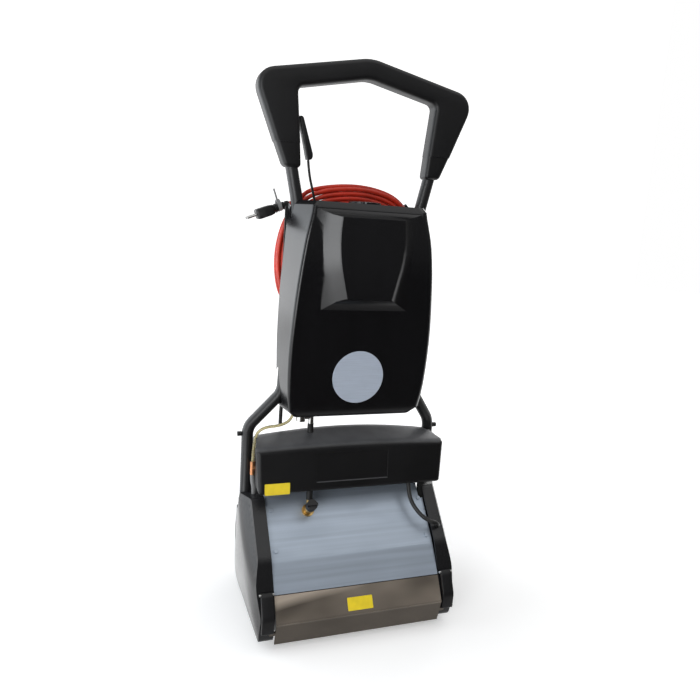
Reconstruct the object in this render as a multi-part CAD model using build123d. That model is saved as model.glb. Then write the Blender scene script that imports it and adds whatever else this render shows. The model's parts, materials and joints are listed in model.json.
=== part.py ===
"""Upright floor scrubber with two contra-rotating brushes, in millimetres.

While modelling, the handle tubes stand in the plane y = 0, the front faces -Y,
+X is the right of the machine seen from the front and the floor is z = 0.
Every piece is moved by FRAME_SHIFT when it is written, so that the origin is
on the floor under the middle of the machine.
"""
from build123d import *
import math
import os

# Fits
RUN = 0.05
FACE_GAP = 0.3
SEAM = 1.5
SLIP = 0.15

# Brushes, drum and their shafts
BRUSH_R = 45.0
BRUSH_OFFSET = 58.0
BRUSH_END_GAP = 12.0
BRUSH_GROOVES = 12
BRUSH_GROOVE_R = 3.0
DRUM_R = 24.0
DRUM_Z = 88.0
SHAFT_R = 6.0
BEARING_R = 14.0

# Side plates, deck and crossbar of the chassis
PLATE_T = 4.0
PLATE_FOOT_Z = 20.0
PLATE_FRONT_Y = -126.0
PLATE_FRONT_TOP = 100.0
DECK_Z = 268.0
DECK_T = 3.0
DECK_FRONT_Y = 0.0
DECK_BACK_Y = 66.0
CROSSBAR_Z = (25.0, 75.0)
RAIL_W = 8.0
RAIL_T = 3.7
RAIL_Y = (-70.0, -5.0)

# Handle pivot
PIVOT_Y = 30.0
PIVOT_Z = 145.0
PIVOT_PIN_R = 8.0
PIVOT_COLLAR_R = 9.5
BUSH_WALL = 2.0
HUB_R = 17.0
TILT_MAX = 55.0

# Sheet covers, as (y, z) points of their outer lines
SHEET_T = 1.5
HOOD_RIM_GAP = 1.0
HOOD_FOOT = (-134.0, 110.0)
HOOD_BEND = (-100.0, 163.0)
HOOD_TOP = (-2.0, 278.0)
REAR_TOP = (68.0, 278.0)
REAR_BEND = (112.0, 200.0)
REAR_KNEE = (143.0, 90.0)
REAR_FOOT_Z = 14.0

# Recovery tray and its scraper
TRAY_CREASE = (-161.0, 63.0)
TRAY_FOOT = (-148.0, 14.0)
TRAY_WALL = 2.0
TRAY_SIDE_GAP = 0.5
TRAY_BRUSH_GAP = 4.0
TRAY_SHELF_GAP = 3.0
TRAY_SHELF_END = 0.0
TRAY_RIM = 8.0
TRAY_EAR = (11.0, 4.5, 7.0)
TRAY_EAR_LAP = 8.0
TRAY_EAR_GAP = 1.0
SCRAPER_T = 2.0
SCRAPER_GAP = 0.5
SCRAPER_LAP = 12.0

# End housings, as (y, z) points of the outline with their corner radii
HOUSING_WALL = 3.0
HOUSING_OUTLINE = ((-24, 262), (-106, 170), (-153, 72), (-141, 15), (122, 15), (122, 190), (52, 262))
HOUSING_RADII = (14, 60, 24, 14, 42, 60, 16)
HOUSING_TUBE_GAP = 5.0
HOUSING_FRONT_LESS = 19.0
HOUSING_BACK_LESS = 1.5

# Latches
LATCH_T = 8.0
LATCH_W = 24.0
LATCH_PIN_R = 2.5
LATCH_PIN_UP = 0.58
LATCH_TIP_Z = 44.0
LATCH_EAR_T = 2.5

# Motor, motor cover and belt drive
MOTOR_Y = 20.0
MOTOR_Z = 324.0
MOTOR_R = 40.0
MOTOR_X = (-45.0, 135.0)
MOTOR_SHAFT_R = 7.0
COVER_WALL = 4.0
COVER_BACK_HALF = 188.0
COVER_FRONT_MORE = 9.0
COVER_BELT_GAP = 3.5
COVER_TUBE_GAP = 5.0
COVER_FRONT_FOOT = (-66.0, 286.0)
COVER_FRONT_TOP = (-57.0, 374.0)
COVER_RIDGE = (9.0, 385.0)
COVER_CROWN = 15.0
COVER_BACK_TOP = (62.0, 368.0)
COVER_BACK_Y = 75.0
COVER_FOOT_Z = 262.0
COVER_TAPER_Y = (-44.0, -4.0)
COVER_PANEL = (-80.0, 75.0, 302.0, 364.0)
COVER_PANEL_DEPTH = 2.0
PULLEY_GAP = 1.5
PULLEY_W = 13.0
BRUSH_PULLEY_R = 20.0
DRUM_PULLEY_R = 46.0
MOTOR_PULLEY_R = 15.0
IDLER_R = 15.0
IDLER = (-84.0, 50.0)
IDLER_PIN_R = 5.0
BELT_T = 3.0
BELT_NOTCH = 0.66
BELT_ROOM = 2.0

# Wheels
WHEEL_R = 32.0
TYRE_T = 8.0
WHEEL_W = 28.0
WHEEL_X = 120.0
WHEEL_GAP = 4.0
AXLE_R = 5.0
LUG_T = 4.0
LUG_R = 10.0
LUG_GAP = 2.0

# Handle tubes, as points of the right tube from the hub up
TUBE_R = 12.0
TUBE_WALL = 2.0
TUBE_KNEE_Z = 398.0
TUBE_NECK = (143.0, 478.0)
TUBE_SHOULDER = (129.0, 850.0)
TUBE_TOP = (151.0, 950.0)
TUBE_BENDS = (45.0, 45.0, 120.0)

# Handle grip, as (x, z) points of its right half with their corner radii
GRIP_DEPTH = 38.0
GRIP_CREST = (1130.0, 80.0)
GRIP_CORNER = (227.0, 1082.0, 38.0)
GRIP_LEG_OUT = (163.0, 922.0, 4.0)
GRIP_LEG_IN = (130.0, 922.0, 4.0)
GRIP_INSIDE = (141.0, 1061.0, 12.0)
GRIP_ARCH = (1091.0, 60.0)
GRIP_EDGE = 7.0

# Trigger lever, as (x, z) of its pivot and blade
TRIGGER_PIVOT = (-126.0, 1006.0)
TRIGGER_TIP = (-104.0, 938.0)
TRIGGER_HEEL = (-117.0, 934.0)
TRIGGER_W = 18.0
TRIGGER_HUB_R = 7.0
TRIGGER_PIN_R = 3.0
TRIGGER_LUG_T = 4.0

# Power switch
SWITCH_AT = (176.0, 1016.0)
SWITCH_SIZE = (20.0, 30.0, 8.0)
SWITCH_POCKET = 10.0
SWITCH_PIN = (2.0, 1.5)

# Solution tank: (z, half width at the back, half width at the front, y of the front)
TANK_SECTIONS = (
    (436, 132, 122, -42),
    (450, 148, 136, -52),
    (560, 157, 144, -64),
    (680, 156, 138, -73),
    (780, 150, 126, -77),
    (838, 147, 113, -70),
    (858, 138, 100, -58),
)
TANK_WALL = 4.0
TANK_BACK_R = 6.0
TANK_FRONT_R = 22.0
TANK_TUBE_GAP = 1.5
TANK_SLOT_LESS = 0.8
SHIELD_TOP = (64.0, 832.0)
SHIELD_WAIST = (71.0, 770.0)
SHIELD_FOOT = (48.0, 656.0)
SHIELD_FACE_Y = -95.0
SHIELD_ROOT_Y = -64.0
SHIELD_FLANK = 42.0
SHIELD_TOP_FLANK = 16.0
CAP_AT = (0.0, -24.0)
CAP_R = 26.0
CAP_FLANGE_R = 32.0
CAP_FLANGE_T = 4.0
CAP_DEEP = 14.0
BADGE_R = 51.0
BADGE_T = 1.2
BADGE_Z = 528.0

# Carrier plate behind the tank, cord hooks and cord coil
CARRIER_T = 3.0
CARRIER_HALF = 150.0
CARRIER_Z = (560.0, 846.0)
CORD_D = 8.6
COIL_PITCH = 9.2
COIL_Z = 740.0
COIL_HALF = 146.0
COIL_SIDE_R = 250.0
COIL_CORNER_R = 65.0
COIL_QUARTERS = 46
COIL_PLATE_GAP = 9.0
CORD_TAIL = 48.0
HOOK_POST_R = 8.0
HOOK_LIP_T = 6.0
HOOK_LIP_W = 14.0
HOOK_REACH = 8.0
PLUG_NECK = (34.0, 7.0, 9.5)
PLUG_BODY = (36.0, 27.0, 20.0)
PLUG_PIN = (20.0, 2.4, 19.0)
CORD_BOX = (24.0, 20.0)
CORD_LEAD_IN = 34.0

# Hoses, wire and leads
HOSE_R = 6.5
VENT_R = 3.0
WIRE_R = 2.5
LEAD_R = 4.0
SIDE_CABLE_R = 4.5
SIDE_CABLE_IN = 13.0
SPRAY_BAR_R = 6.0
SPRAY_BAR_AT = (78.0, 118.0)

# Places that follow from the sizes above: the belt runs just inside the motor cover, the tubes just outside it
COVER_HALF = COVER_BACK_HALF + COVER_FRONT_MORE
PLATE_IN = COVER_BACK_HALF - COVER_WALL - COVER_BELT_GAP - PULLEY_W - PULLEY_GAP - PLATE_T
TUBE_X = COVER_BACK_HALF + COVER_TUBE_GAP + TUBE_R
HOUSING_X_MID = TUBE_X + TUBE_R + HOUSING_TUBE_GAP
HOUSING_X_FRONT = HOUSING_X_MID - HOUSING_FRONT_LESS
HOUSING_X_BACK = HOUSING_X_MID - HOUSING_BACK_LESS
RIM_X = PLATE_IN + PLATE_T + 10.0
HOOD_HALF = RIM_X - HOOD_RIM_GAP
BRUSH_HALF = PLATE_IN - BRUSH_END_GAP
FRONT_AXIS = (PIVOT_Y - BRUSH_OFFSET, BRUSH_R)
REAR_AXIS = (PIVOT_Y + BRUSH_OFFSET, BRUSH_R)
DRUM_AXIS = (PIVOT_Y, DRUM_Z)
MOTOR_AXIS = (MOTOR_Y, MOTOR_Z)
PULLEY_X = PLATE_IN + PLATE_T + PULLEY_GAP
SHAFT_END = PULLEY_X + PULLEY_W
CROSSBAR_Y = REAR_AXIS[0] + BRUSH_R + 3.0
WHEEL_Y = REAR_KNEE[0] + WHEEL_GAP + WHEEL_R
TANK_BACK_Y = TUBE_R
CARRIER_Y = TANK_BACK_Y + FACE_GAP
CARRIER_BACK = CARRIER_Y + CARRIER_T
COIL_Y = CARRIER_BACK + COIL_PLATE_GAP + CORD_D / 2
COIL_BACK = COIL_Y + COIL_PITCH + CORD_D / 2
GRIP_LEG_SLOPE = (GRIP_INSIDE[0] - GRIP_LEG_IN[0]) / (GRIP_INSIDE[1] - GRIP_LEG_IN[1])
FRAME_SHIFT = -(TRAY_CREASE[0] + WHEEL_Y + WHEEL_R) / 2


# Small makers

def save(name, shape):
    """Write one piece, moved into the frame of the finished machine."""
    export_step(Pos(0, FRAME_SHIFT, 0) * shape, f"parts/{name}.step")


def rod_x(axis, radius, x0, x1):
    """A round bar along X about an axis given as (y, z)."""
    return Pos((x0 + x1) / 2, *axis) * Rot(0, 90, 0) * Cylinder(radius, x1 - x0)


def rod_y(x, z, radius, y0, y1):
    return Pos(x, (y0 + y1) / 2, z) * Rot(90, 0, 0) * Cylinder(radius, y1 - y0)


def rod_z(x, y, radius, z0, z1):
    return Pos(x, y, (z0 + z1) / 2) * Cylinder(radius, z1 - z0)


def block(x0, x1, y0, y1, z0, z1):
    return Pos((x0 + x1) / 2, (y0 + y1) / 2, (z0 + z1) / 2) * Box(x1 - x0, y1 - y0, z1 - z0)


def outline_face(points, radii):
    """A face inside closed points, with one corner radius or a list of them."""
    if radii:
        return make_face(FilletPolyline(*points, radius=radii, close=True).edges())
    return make_face(Polyline(*points, close=True).edges())


def prism_x(points, x0, x1, radii=0):
    """Extrude a closed (y, z) outline from x0 to x1."""
    face = outline_face([(x0, y, z) for y, z in points], radii)
    return extrude(face, amount=x1 - x0, dir=(1, 0, 0))


def prism_y(points, y0, y1, radii=0):
    """Extrude a closed (x, z) outline from y0 to y1."""
    face = outline_face([(x, y0, z) for x, z in points], radii)
    return extrude(face, amount=y1 - y0, dir=(0, 1, 0))


def prism_z(points, z0, z1, radii=0):
    """Extrude a closed (x, y) outline from z0 to z1."""
    face = outline_face([(x, y, z0) for x, y in points], radii)
    return extrude(face, amount=z1 - z0, dir=(0, 0, 1))


def left_of(shape):
    """The mirror image on the left of the machine."""
    return mirror(shape, about=Plane.YZ)


def both(shape):
    """A piece and its mirror image as one group."""
    return Part() + [shape, left_of(shape)]


def beside(points, distance):
    """An open line of 2D points moved sideways to its right by a distance."""
    moved = []
    steps = [Vector(b[0] - a[0], b[1] - a[1]).normalized() for a, b in zip(points, points[1:])]
    for i, (u, v) in enumerate(points):
        before = steps[max(i - 1, 0)]
        after = steps[min(i, len(steps) - 1)]
        middle = (before + after).normalized()
        reach = distance / (middle.X * after.X + middle.Y * after.Y)
        moved.append((u + middle.Y * reach, v - middle.X * reach))
    return moved


def between(a, b, share):
    return (a[0] + (b[0] - a[0]) * share, a[1] + (b[1] - a[1]) * share)


def tube_along(path, radius, bore=0.0):
    """A round tube swept along a path, hollow if it has a bore."""
    start = Plane(origin=path @ 0, z_dir=path % 0)
    section = start * Circle(radius)
    if bore:
        section = section - start * Circle(bore)
    return sweep(section, path=path)


def soft_path(name, points):
    """A hose or lead's path: every corner takes as large an arc as its runs allow."""
    corners = [Vector(*p) for p in points]
    radii = []
    for a, b, c in zip(corners, corners[1:], corners[2:]):
        turn = math.radians((b - a).get_angle(c - b))
        run = min((b - a).length, (c - b).length)
        radii.append(0.45 * run / math.tan(turn / 2))
    path = FilletPolyline(*points, radius=radii)
    print(f"{name}: length {path.length:.0f}, least bend {min(radii):.0f}")
    return path


# Chassis and running gear

HOOD_LINE = [HOOD_FOOT, HOOD_BEND, HOOD_TOP]
REAR_LINE = [REAR_TOP, REAR_BEND, REAR_KNEE, (REAR_KNEE[0], REAR_FOOT_Z)]


def wheel_lug(x):
    """A lug from the crossbar to the axle, with its inner face at x."""
    arm_z = (AXLE_R + LUG_GAP, WHEEL_R + LUG_R)
    arm = block(x, x + LUG_T, CROSSBAR_Y, WHEEL_Y, WHEEL_R - LUG_R, arm_z[1])
    arm += rod_x((WHEEL_Y, WHEEL_R), LUG_R, x, x + LUG_T)
    return arm - rod_x((WHEEL_Y, WHEEL_R), AXLE_R, x - 1, x + LUG_T + 1)


def lug_places():
    """The inner x of each of the four lugs."""
    inner = WHEEL_X - WHEEL_W / 2 - LUG_GAP - LUG_T
    outer = WHEEL_X + WHEEL_W / 2 + LUG_GAP
    return [inner, outer, -inner - LUG_T, -outer - LUG_T]


def chassis_frame():
    hood_inside = beside(HOOD_LINE, SHEET_T)
    rear_inside = beside(REAR_LINE, SHEET_T)
    front = between(hood_inside[0], hood_inside[1], 0.1)
    outline = [(PLATE_FRONT_Y, PLATE_FOOT_Z), (PLATE_FRONT_Y, PLATE_FRONT_TOP), front]
    outline += hood_inside[1:] + rear_inside[:3] + [(rear_inside[3][0], PLATE_FOOT_Z)]
    plate = prism_x(outline, PLATE_IN, PLATE_IN + PLATE_T)
    for axis in (FRONT_AXIS, REAR_AXIS, DRUM_AXIS):
        plate -= rod_x(axis, BEARING_R, PLATE_IN - 1, PLATE_IN + PLATE_T + 1)
    plate -= rod_x((PIVOT_Y, PIVOT_Z), PIVOT_PIN_R, PLATE_IN - 1, PLATE_IN + PLATE_T + 1)
    rail_top = tray_shelf_z() - FACE_GAP
    plate += block(PLATE_IN - RAIL_W, PLATE_IN, *RAIL_Y, rail_top - RAIL_T, rail_top)
    frame = plate + left_of(plate)
    frame += block(-PLATE_IN, PLATE_IN, DECK_FRONT_Y, DECK_BACK_Y, DECK_Z, DECK_Z + DECK_T)
    frame += block(-PLATE_IN, PLATE_IN, CROSSBAR_Y, CROSSBAR_Y + PLATE_T, *CROSSBAR_Z)
    for x in lug_places():
        frame += wheel_lug(x)
    frame += rod_x(IDLER, IDLER_PIN_R, PLATE_IN + PLATE_T, SHAFT_END)
    return frame


def shaft_bearings():
    rings = []
    for axis in (FRONT_AXIS, REAR_AXIS, DRUM_AXIS):
        ring = rod_x(axis, BEARING_R, PLATE_IN, PLATE_IN + PLATE_T)
        ring -= rod_x(axis, SHAFT_R + RUN, PLATE_IN - 1, PLATE_IN + PLATE_T + 1)
        rings += [ring, left_of(ring)]
    return Part() + rings


def brush(axis):
    """A brush roller: a bristle cylinder with grooves between its rows of tufts."""
    roller = rod_x(axis, BRUSH_R, -BRUSH_HALF, BRUSH_HALF)
    roller -= rod_x(axis, SHAFT_R, -BRUSH_HALF - 1, BRUSH_HALF + 1)
    for i in range(BRUSH_GROOVES):
        angle = 2 * math.pi * (i + 0.5) / BRUSH_GROOVES
        at = (axis[0] + BRUSH_R * math.sin(angle), axis[1] - BRUSH_R * math.cos(angle))
        roller -= rod_x(at, BRUSH_GROOVE_R, -BRUSH_HALF - 1, BRUSH_HALF + 1)
    return roller


def shaft(axis):
    return rod_x(axis, SHAFT_R, -PLATE_IN - PLATE_T, SHAFT_END)


def pulley(axis, radius, bore):
    wheel = rod_x(axis, radius, PULLEY_X, SHAFT_END)
    return wheel - rod_x(axis, bore, PULLEY_X - 1, SHAFT_END + 1)


def pickup_drum():
    return rod_x(DRUM_AXIS, DRUM_R, -BRUSH_HALF, BRUSH_HALF) + shaft(DRUM_AXIS)


def belt_edge(stops):
    """A closed line round pulleys, given as (axis, radius): a negative one is outside."""
    count = len(stops)
    heads = []
    for i in range(count):
        (y0, z0), r0 = stops[i]
        (y1, z1), r1 = stops[(i + 1) % count]
        apart = math.hypot(y1 - y0, z1 - z0)
        heads.append(math.atan2(z1 - z0, y1 - y0) + math.asin((r1 - r0) / apart))

    def touch(i, head):
        (y, z), r = stops[i % count]
        return (PULLEY_X, y - r * math.sin(head), z + r * math.cos(head))

    edges = []
    for i in range(count):
        edges.append(Line(touch(i, heads[i]), touch(i + 1, heads[i])))
        arrive, leave = heads[i], heads[(i + 1) % count]
        turn = (leave - arrive) % (2 * math.pi)
        if stops[(i + 1) % count][1] > 0:
            turn -= 2 * math.pi
        points = [touch(i + 1, arrive + turn * share) for share in (0, 0.5, 1)]
        edges.append(ThreePointArc(*points))
    return make_face(edges)


def belt_band(slack):
    """The belt's edge, which passes over the front brush pulley with its back, widened by a slack."""
    near, far = FACE_GAP - slack, FACE_GAP + BELT_T + slack
    wheels = [(MOTOR_AXIS, MOTOR_PULLEY_R), (REAR_AXIS, BRUSH_PULLEY_R), (DRUM_AXIS, DRUM_PULLEY_R)]
    last = (IDLER, IDLER_R)
    inside = [(axis, r + near) for axis, r in wheels] + [(FRONT_AXIS, -BRUSH_PULLEY_R - far)]
    outside = [(axis, r + far) for axis, r in wheels] + [(FRONT_AXIS, -BRUSH_PULLEY_R - near)]
    inside.append((IDLER, last[1] + near))
    outside.append((IDLER, last[1] + far))
    return belt_edge(outside) - belt_edge(inside)


def drive_belt():
    """A flat double-sided belt."""
    return extrude(belt_band(0), amount=PULLEY_W, dir=(1, 0, 0))


def belt_room():
    """The room that the belt needs where it passes through a wall."""
    return Pos(-1, 0, 0) * extrude(belt_band(BELT_ROOM), amount=PULLEY_W + BELT_ROOM + 1, dir=(1, 0, 0))


def motor():
    x0, x1 = MOTOR_X
    body = rod_x(MOTOR_AXIS, MOTOR_R, x0, x1)
    foot_y = MOTOR_R * 0.5
    body += block(x0 + 20, x1 - 20, MOTOR_Y - foot_y, MOTOR_Y + foot_y, DECK_Z + DECK_T, MOTOR_Z)
    return body - rod_x(MOTOR_AXIS, MOTOR_SHAFT_R + RUN, x1 - 35, x1 + 1)


def motor_shaft():
    return rod_x(MOTOR_AXIS, MOTOR_SHAFT_R, MOTOR_X[1] - 34, SHAFT_END)


def belt_tensioner():
    return pulley(IDLER, IDLER_R, IDLER_PIN_R + RUN)


def wheel(x):
    hub = rod_x((WHEEL_Y, WHEEL_R), WHEEL_R - TYRE_T, x - WHEEL_W / 2, x + WHEEL_W / 2)
    return hub - rod_x((WHEEL_Y, WHEEL_R), AXLE_R + RUN, x - WHEEL_W, x + WHEEL_W)


def tyre(x):
    ring = rod_x((WHEEL_Y, WHEEL_R), WHEEL_R, x - WHEEL_W / 2, x + WHEEL_W / 2)
    ring -= rod_x((WHEEL_Y, WHEEL_R), WHEEL_R - TYRE_T, x - WHEEL_W, x + WHEEL_W)
    shoulders = ring.edges().filter_by(GeomType.CIRCLE).sort_by(SortBy.RADIUS)[-2:]
    return fillet(shoulders, TYRE_T / 2)


def wheel_axle():
    end = WHEEL_X + WHEEL_W / 2 + LUG_GAP + LUG_T + 2
    return rod_x((WHEEL_Y, WHEEL_R), AXLE_R, -end, end)


# Covers

def sheet(line, half):
    """A bent sheet of SHEET_T, on the right-hand side of an outer line."""
    return prism_x(list(line) + beside(line, SHEET_T)[::-1], -half, half)


def front_hood():
    """The hood, with its right end notched where the belt climbs to the motor."""
    notch_z = between(HOOD_BEND, HOOD_TOP, BELT_NOTCH)[1]
    hood = sheet(HOOD_LINE, HOOD_HALF)
    return hood - block(PLATE_IN + PLATE_T, HOOD_HALF + 1, HOOD_FOOT[0], 1, notch_z, HOOD_TOP[1] + 1)


def rear_cover():
    cover = sheet(REAR_LINE, HOOD_HALF)
    for x in lug_places():
        slot_z = (WHEEL_R - LUG_R - SEAM, WHEEL_R + LUG_R + SEAM)
        cover -= block(x - SEAM, x + LUG_T + SEAM, CROSSBAR_Y, WHEEL_Y, *slot_z)
    return cover


def cover_outline(crown, inset):
    """The motor cover's (y, z) section: inset is 0 outside, the wall inside."""
    foot = COVER_FOOT_Z - (inset > 0)
    return [
        (COVER_FRONT_FOOT[0] + inset, foot),
        (COVER_FRONT_FOOT[0] + inset, COVER_FRONT_FOOT[1]),
        (COVER_FRONT_TOP[0] + inset, COVER_FRONT_TOP[1] + crown * 0.3 - inset),
        (COVER_RIDGE[0], COVER_RIDGE[1] + crown - inset),
        (COVER_BACK_TOP[0] - inset, COVER_BACK_TOP[1] + crown * 0.6 - inset),
        (COVER_BACK_Y - inset, foot),
    ]


def cover_body(inset):
    """The cover's outer or inner form: crowned along its length, narrower at the back."""
    half = COVER_HALF - inset
    back_half = COVER_BACK_HALF - inset
    faces = []
    for x, crown in ((-half, 0), (0, COVER_CROWN), (half, 0)):
        faces.append(outline_face([(x, y, z) for y, z in cover_outline(crown, inset)], 0))
    body = loft(faces)
    y0, y1 = COVER_TAPER_Y
    front, back = COVER_FRONT_FOOT[0] - 1, COVER_BACK_Y + 1
    plan = [(half, front), (half, y0), (back_half, y1), (back_half, back)]
    plan += [(-x, y) for x, y in plan[::-1]]
    return body & prism_z(plan, COVER_FOOT_Z - 2, COVER_RIDGE[1] + COVER_CROWN + 2)


def motor_cover():
    cover = cover_body(0) - cover_body(COVER_WALL)
    under = [(COVER_FRONT_FOOT[0] - 1, COVER_FOOT_Z - 1), (COVER_FRONT_FOOT[0] - 1, COVER_FRONT_FOOT[1])]
    under += [(HOOD_TOP[0] - 12, COVER_FRONT_FOOT[1]), (HOOD_TOP[0] - 12, COVER_FOOT_Z - 1)]
    cover -= prism_x(under, -COVER_HALF - 1, COVER_HALF + 1)
    cover -= block(-RIM_X - 1, RIM_X + 1, REAR_TOP[0] - 8, COVER_BACK_Y + 1, COVER_FOOT_Z - 1, REAR_TOP[1] + SEAM)
    x0, x1, z0, z1 = COVER_PANEL
    lean = (COVER_FRONT_TOP[0] - COVER_FRONT_FOOT[0]) / (COVER_FRONT_TOP[1] - COVER_FRONT_FOOT[1])
    low = COVER_FRONT_FOOT[0] + (z0 - COVER_FRONT_FOOT[1]) * lean + COVER_PANEL_DEPTH
    high = COVER_FRONT_FOOT[0] + (z1 - COVER_FRONT_FOOT[1]) * lean + COVER_PANEL_DEPTH
    cover -= prism_x([(low - 9, z0), (low, z0), (high, z1), (high - 12, z1)], x0, x1)
    hole_z = (COVER_BACK_TOP[1] - 30, COVER_RIDGE[1] + COVER_CROWN + 9)
    cover -= rod_z(VALVE_ARM_X, VALVE_AT[1], HOSE_R + 1, *hole_z)
    return cover + rod_z(*LEAD_HOLE, LEAD_GLAND_R, COVER_RIDGE[1] - LEAD_GLAND_L / 2, lead_foot())


def housing_form(inset):
    """An end housing's outer or inner form: a side outline cut to a bowed plan."""
    points = list(HOUSING_OUTLINE)
    radii = [max(r - inset, 1) for r in HOUSING_RADII]
    if inset:
        loop = points[-1:] + points + points[:1]
        points = beside(loop, -inset)[1:-1]
    side = prism_x(points, RIM_X, HOUSING_X_MID + 10, radii)
    y_front, y_back = HOUSING_OUTLINE[2][0], HOUSING_OUTLINE[4][0]
    bow = ThreePointArc((HOUSING_X_FRONT - inset, y_front - 2, 0), (HOUSING_X_MID - inset, PIVOT_Y, 0),
                        (HOUSING_X_BACK - inset, y_back + 2, 0))
    back = Polyline(bow @ 1, (RIM_X - 1, y_back + 2, 0), (RIM_X - 1, y_front - 2, 0), bow @ 0)
    plan = extrude(make_face([bow] + back.edges()), amount=HOUSING_OUTLINE[0][1] + 5, dir=(0, 0, 1))
    return side & plan


def latch_line(share, out):
    """A point on the housing's front slope, a share of the way down and out from it."""
    top, foot = HOUSING_OUTLINE[1], HOUSING_OUTLINE[2]
    y, z = between(top, foot, share)
    run = math.dist(top, foot)
    return (y + out * (foot[1] - top[1]) / run, z - out * (foot[0] - top[0]) / run)


LATCH_PIN_AT = latch_line(LATCH_PIN_UP, LATCH_T / 2 + 1)
LATCH_X = (RIM_X + LATCH_EAR_T + FACE_GAP, RIM_X + LATCH_EAR_T + FACE_GAP + LATCH_W)


def right_housing():
    shell = housing_form(0) - housing_form(HOUSING_WALL)
    lean = math.radians(TILT_MAX)
    room = TUBE_R + 3
    low = (PIVOT_Y + room * math.cos(lean), PIVOT_Z - room * math.sin(lean))
    far = (low[0] + 300 * math.sin(lean), low[1] + 300 * math.cos(lean))
    sector = [(PIVOT_Y - room, low[1]), (PIVOT_Y - room, 345), (far[0], 345), far, low]
    shell -= prism_x(sector, TUBE_X - TUBE_R - 2, HOUSING_X_MID - HOUSING_WALL)
    for x in (LATCH_X[0] - FACE_GAP - LATCH_EAR_T, LATCH_X[1] + FACE_GAP):
        ear = rod_x(LATCH_PIN_AT, LATCH_T, x, x + LATCH_EAR_T)
        ear -= housing_form(HOUSING_WALL)
        shell += ear
        shell -= rod_x(LATCH_PIN_AT, LATCH_PIN_R, x - 1, x + LATCH_EAR_T + 1)
    return shell


def latch():
    """The right latch: a lever down the housing's front that turns about its pin."""
    high, low = LATCH_PIN_UP, 1.0
    inner = [latch_line(high, 1), latch_line(low, 1)]
    outer = [latch_line(low, 1 + LATCH_T), latch_line(high, 1 + LATCH_T)]
    tip = inner[1][0] + 1.5
    lever = prism_x(inner + [(tip, LATCH_TIP_Z), (tip - LATCH_T, LATCH_TIP_Z)] + outer, *LATCH_X)
    lever += rod_x(LATCH_PIN_AT, LATCH_T / 2, *LATCH_X)
    return lever - rod_x(LATCH_PIN_AT, LATCH_PIN_R + RUN, LATCH_X[0] - 1, LATCH_X[1] + 1)


def latch_pins():
    pin = rod_x(LATCH_PIN_AT, LATCH_PIN_R, LATCH_X[0] - FACE_GAP - LATCH_EAR_T,
                LATCH_X[1] + FACE_GAP + LATCH_EAR_T)
    return both(pin)


# Recovery tray

def tray_shelf_z():
    return 2 * BRUSH_R + TRAY_SHELF_GAP


def recovery_tray():
    """A trough in front of the front brush with a shelf over it and a folded steel front."""
    top = between(HOOD_FOOT, TRAY_CREASE, SEAM / math.dist(HOOD_FOOT, TRAY_CREASE))
    tray = sheet([TRAY_FOOT, TRAY_CREASE, top], HOOD_HALF)
    half = PLATE_IN - TRAY_SIDE_GAP
    back = FRONT_AXIS[0] - BRUSH_R - TRAY_BRUSH_GAP
    shelf = tray_shelf_z()
    floor_z = TRAY_FOOT[1]
    tray += block(-half, half, TRAY_FOOT[0], back, floor_z, floor_z + TRAY_WALL)
    tray += block(-half, half, back - TRAY_WALL, back, floor_z, shelf + TRAY_WALL)
    tray += block(-half, half, back - TRAY_WALL, TRAY_SHELF_END, shelf, shelf + TRAY_WALL)
    inside = beside([TRAY_FOOT, TRAY_CREASE, top], SHEET_T / 2)
    rim = shelf + TRAY_RIM
    cheek = inside + [(back, rim), (TRAY_SHELF_END, rim), (TRAY_SHELF_END, shelf), (back, shelf), (back, floor_z)]
    cheek_plate = prism_x(cheek, half - TRAY_WALL, half)
    tray += cheek_plate + left_of(cheek_plate)
    ear = tray_ear()
    return Part() + tray.solids() + [ear, left_of(ear)]


def tray_ear():
    """A block behind the end of the tray's lip, under the latch's tip."""
    wide, deep, high = TRAY_EAR
    edge = beside([TRAY_CREASE, TRAY_FOOT], -SHEET_T - RUN)
    fall = (edge[1][0] - edge[0][0]) / (edge[1][1] - edge[0][1])
    top = LATCH_TIP_Z - TRAY_EAR_GAP
    front = [(edge[0][0] + (z - edge[0][1]) * fall, z) for z in (top, top - high)]
    back = front[1][0] + deep
    return prism_x(front + [(back, top - high), (back, top)], HOOD_HALF - TRAY_EAR_LAP, HOOD_HALF + wide)


def scraper_blade():
    z = tray_shelf_z() + TRAY_WALL
    drop = max(abs(z - DRUM_Z), abs(z + SCRAPER_T - DRUM_Z))
    drum_face = DRUM_AXIS[0] - math.sqrt(DRUM_R**2 - (z - DRUM_Z)**2) if drop < DRUM_R else DRUM_AXIS[0]
    return block(-BRUSH_HALF, BRUSH_HALF, TRAY_SHELF_END - SCRAPER_LAP, drum_face - SCRAPER_GAP, z, z + SCRAPER_T)


# Handle, tubes and tank

HUB_X = (TUBE_X - TUBE_R, TUBE_X + TUBE_R)
TUBE_POINTS = [
    (TUBE_X, PIVOT_Y, PIVOT_Z + PIVOT_PIN_R + BUSH_WALL + 1),
    (TUBE_X, PIVOT_Y, TUBE_KNEE_Z),
    (TUBE_NECK[0], 0, TUBE_NECK[1]),
    (TUBE_SHOULDER[0], 0, TUBE_SHOULDER[1]),
    (TUBE_TOP[0], 0, TUBE_TOP[1]),
]


def tube_path():
    return FilletPolyline(*TUBE_POINTS, radius=TUBE_BENDS)


def right_tube():
    hub = rod_x((PIVOT_Y, PIVOT_Z), HUB_R, *HUB_X)
    tube = tube_along(tube_path(), TUBE_R) + hub
    tube -= tube_along(tube_path(), TUBE_R - TUBE_WALL)
    return tube - rod_x((PIVOT_Y, PIVOT_Z), PIVOT_PIN_R + BUSH_WALL, HUB_X[0] - 1, HUB_X[1] + 1)


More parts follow.
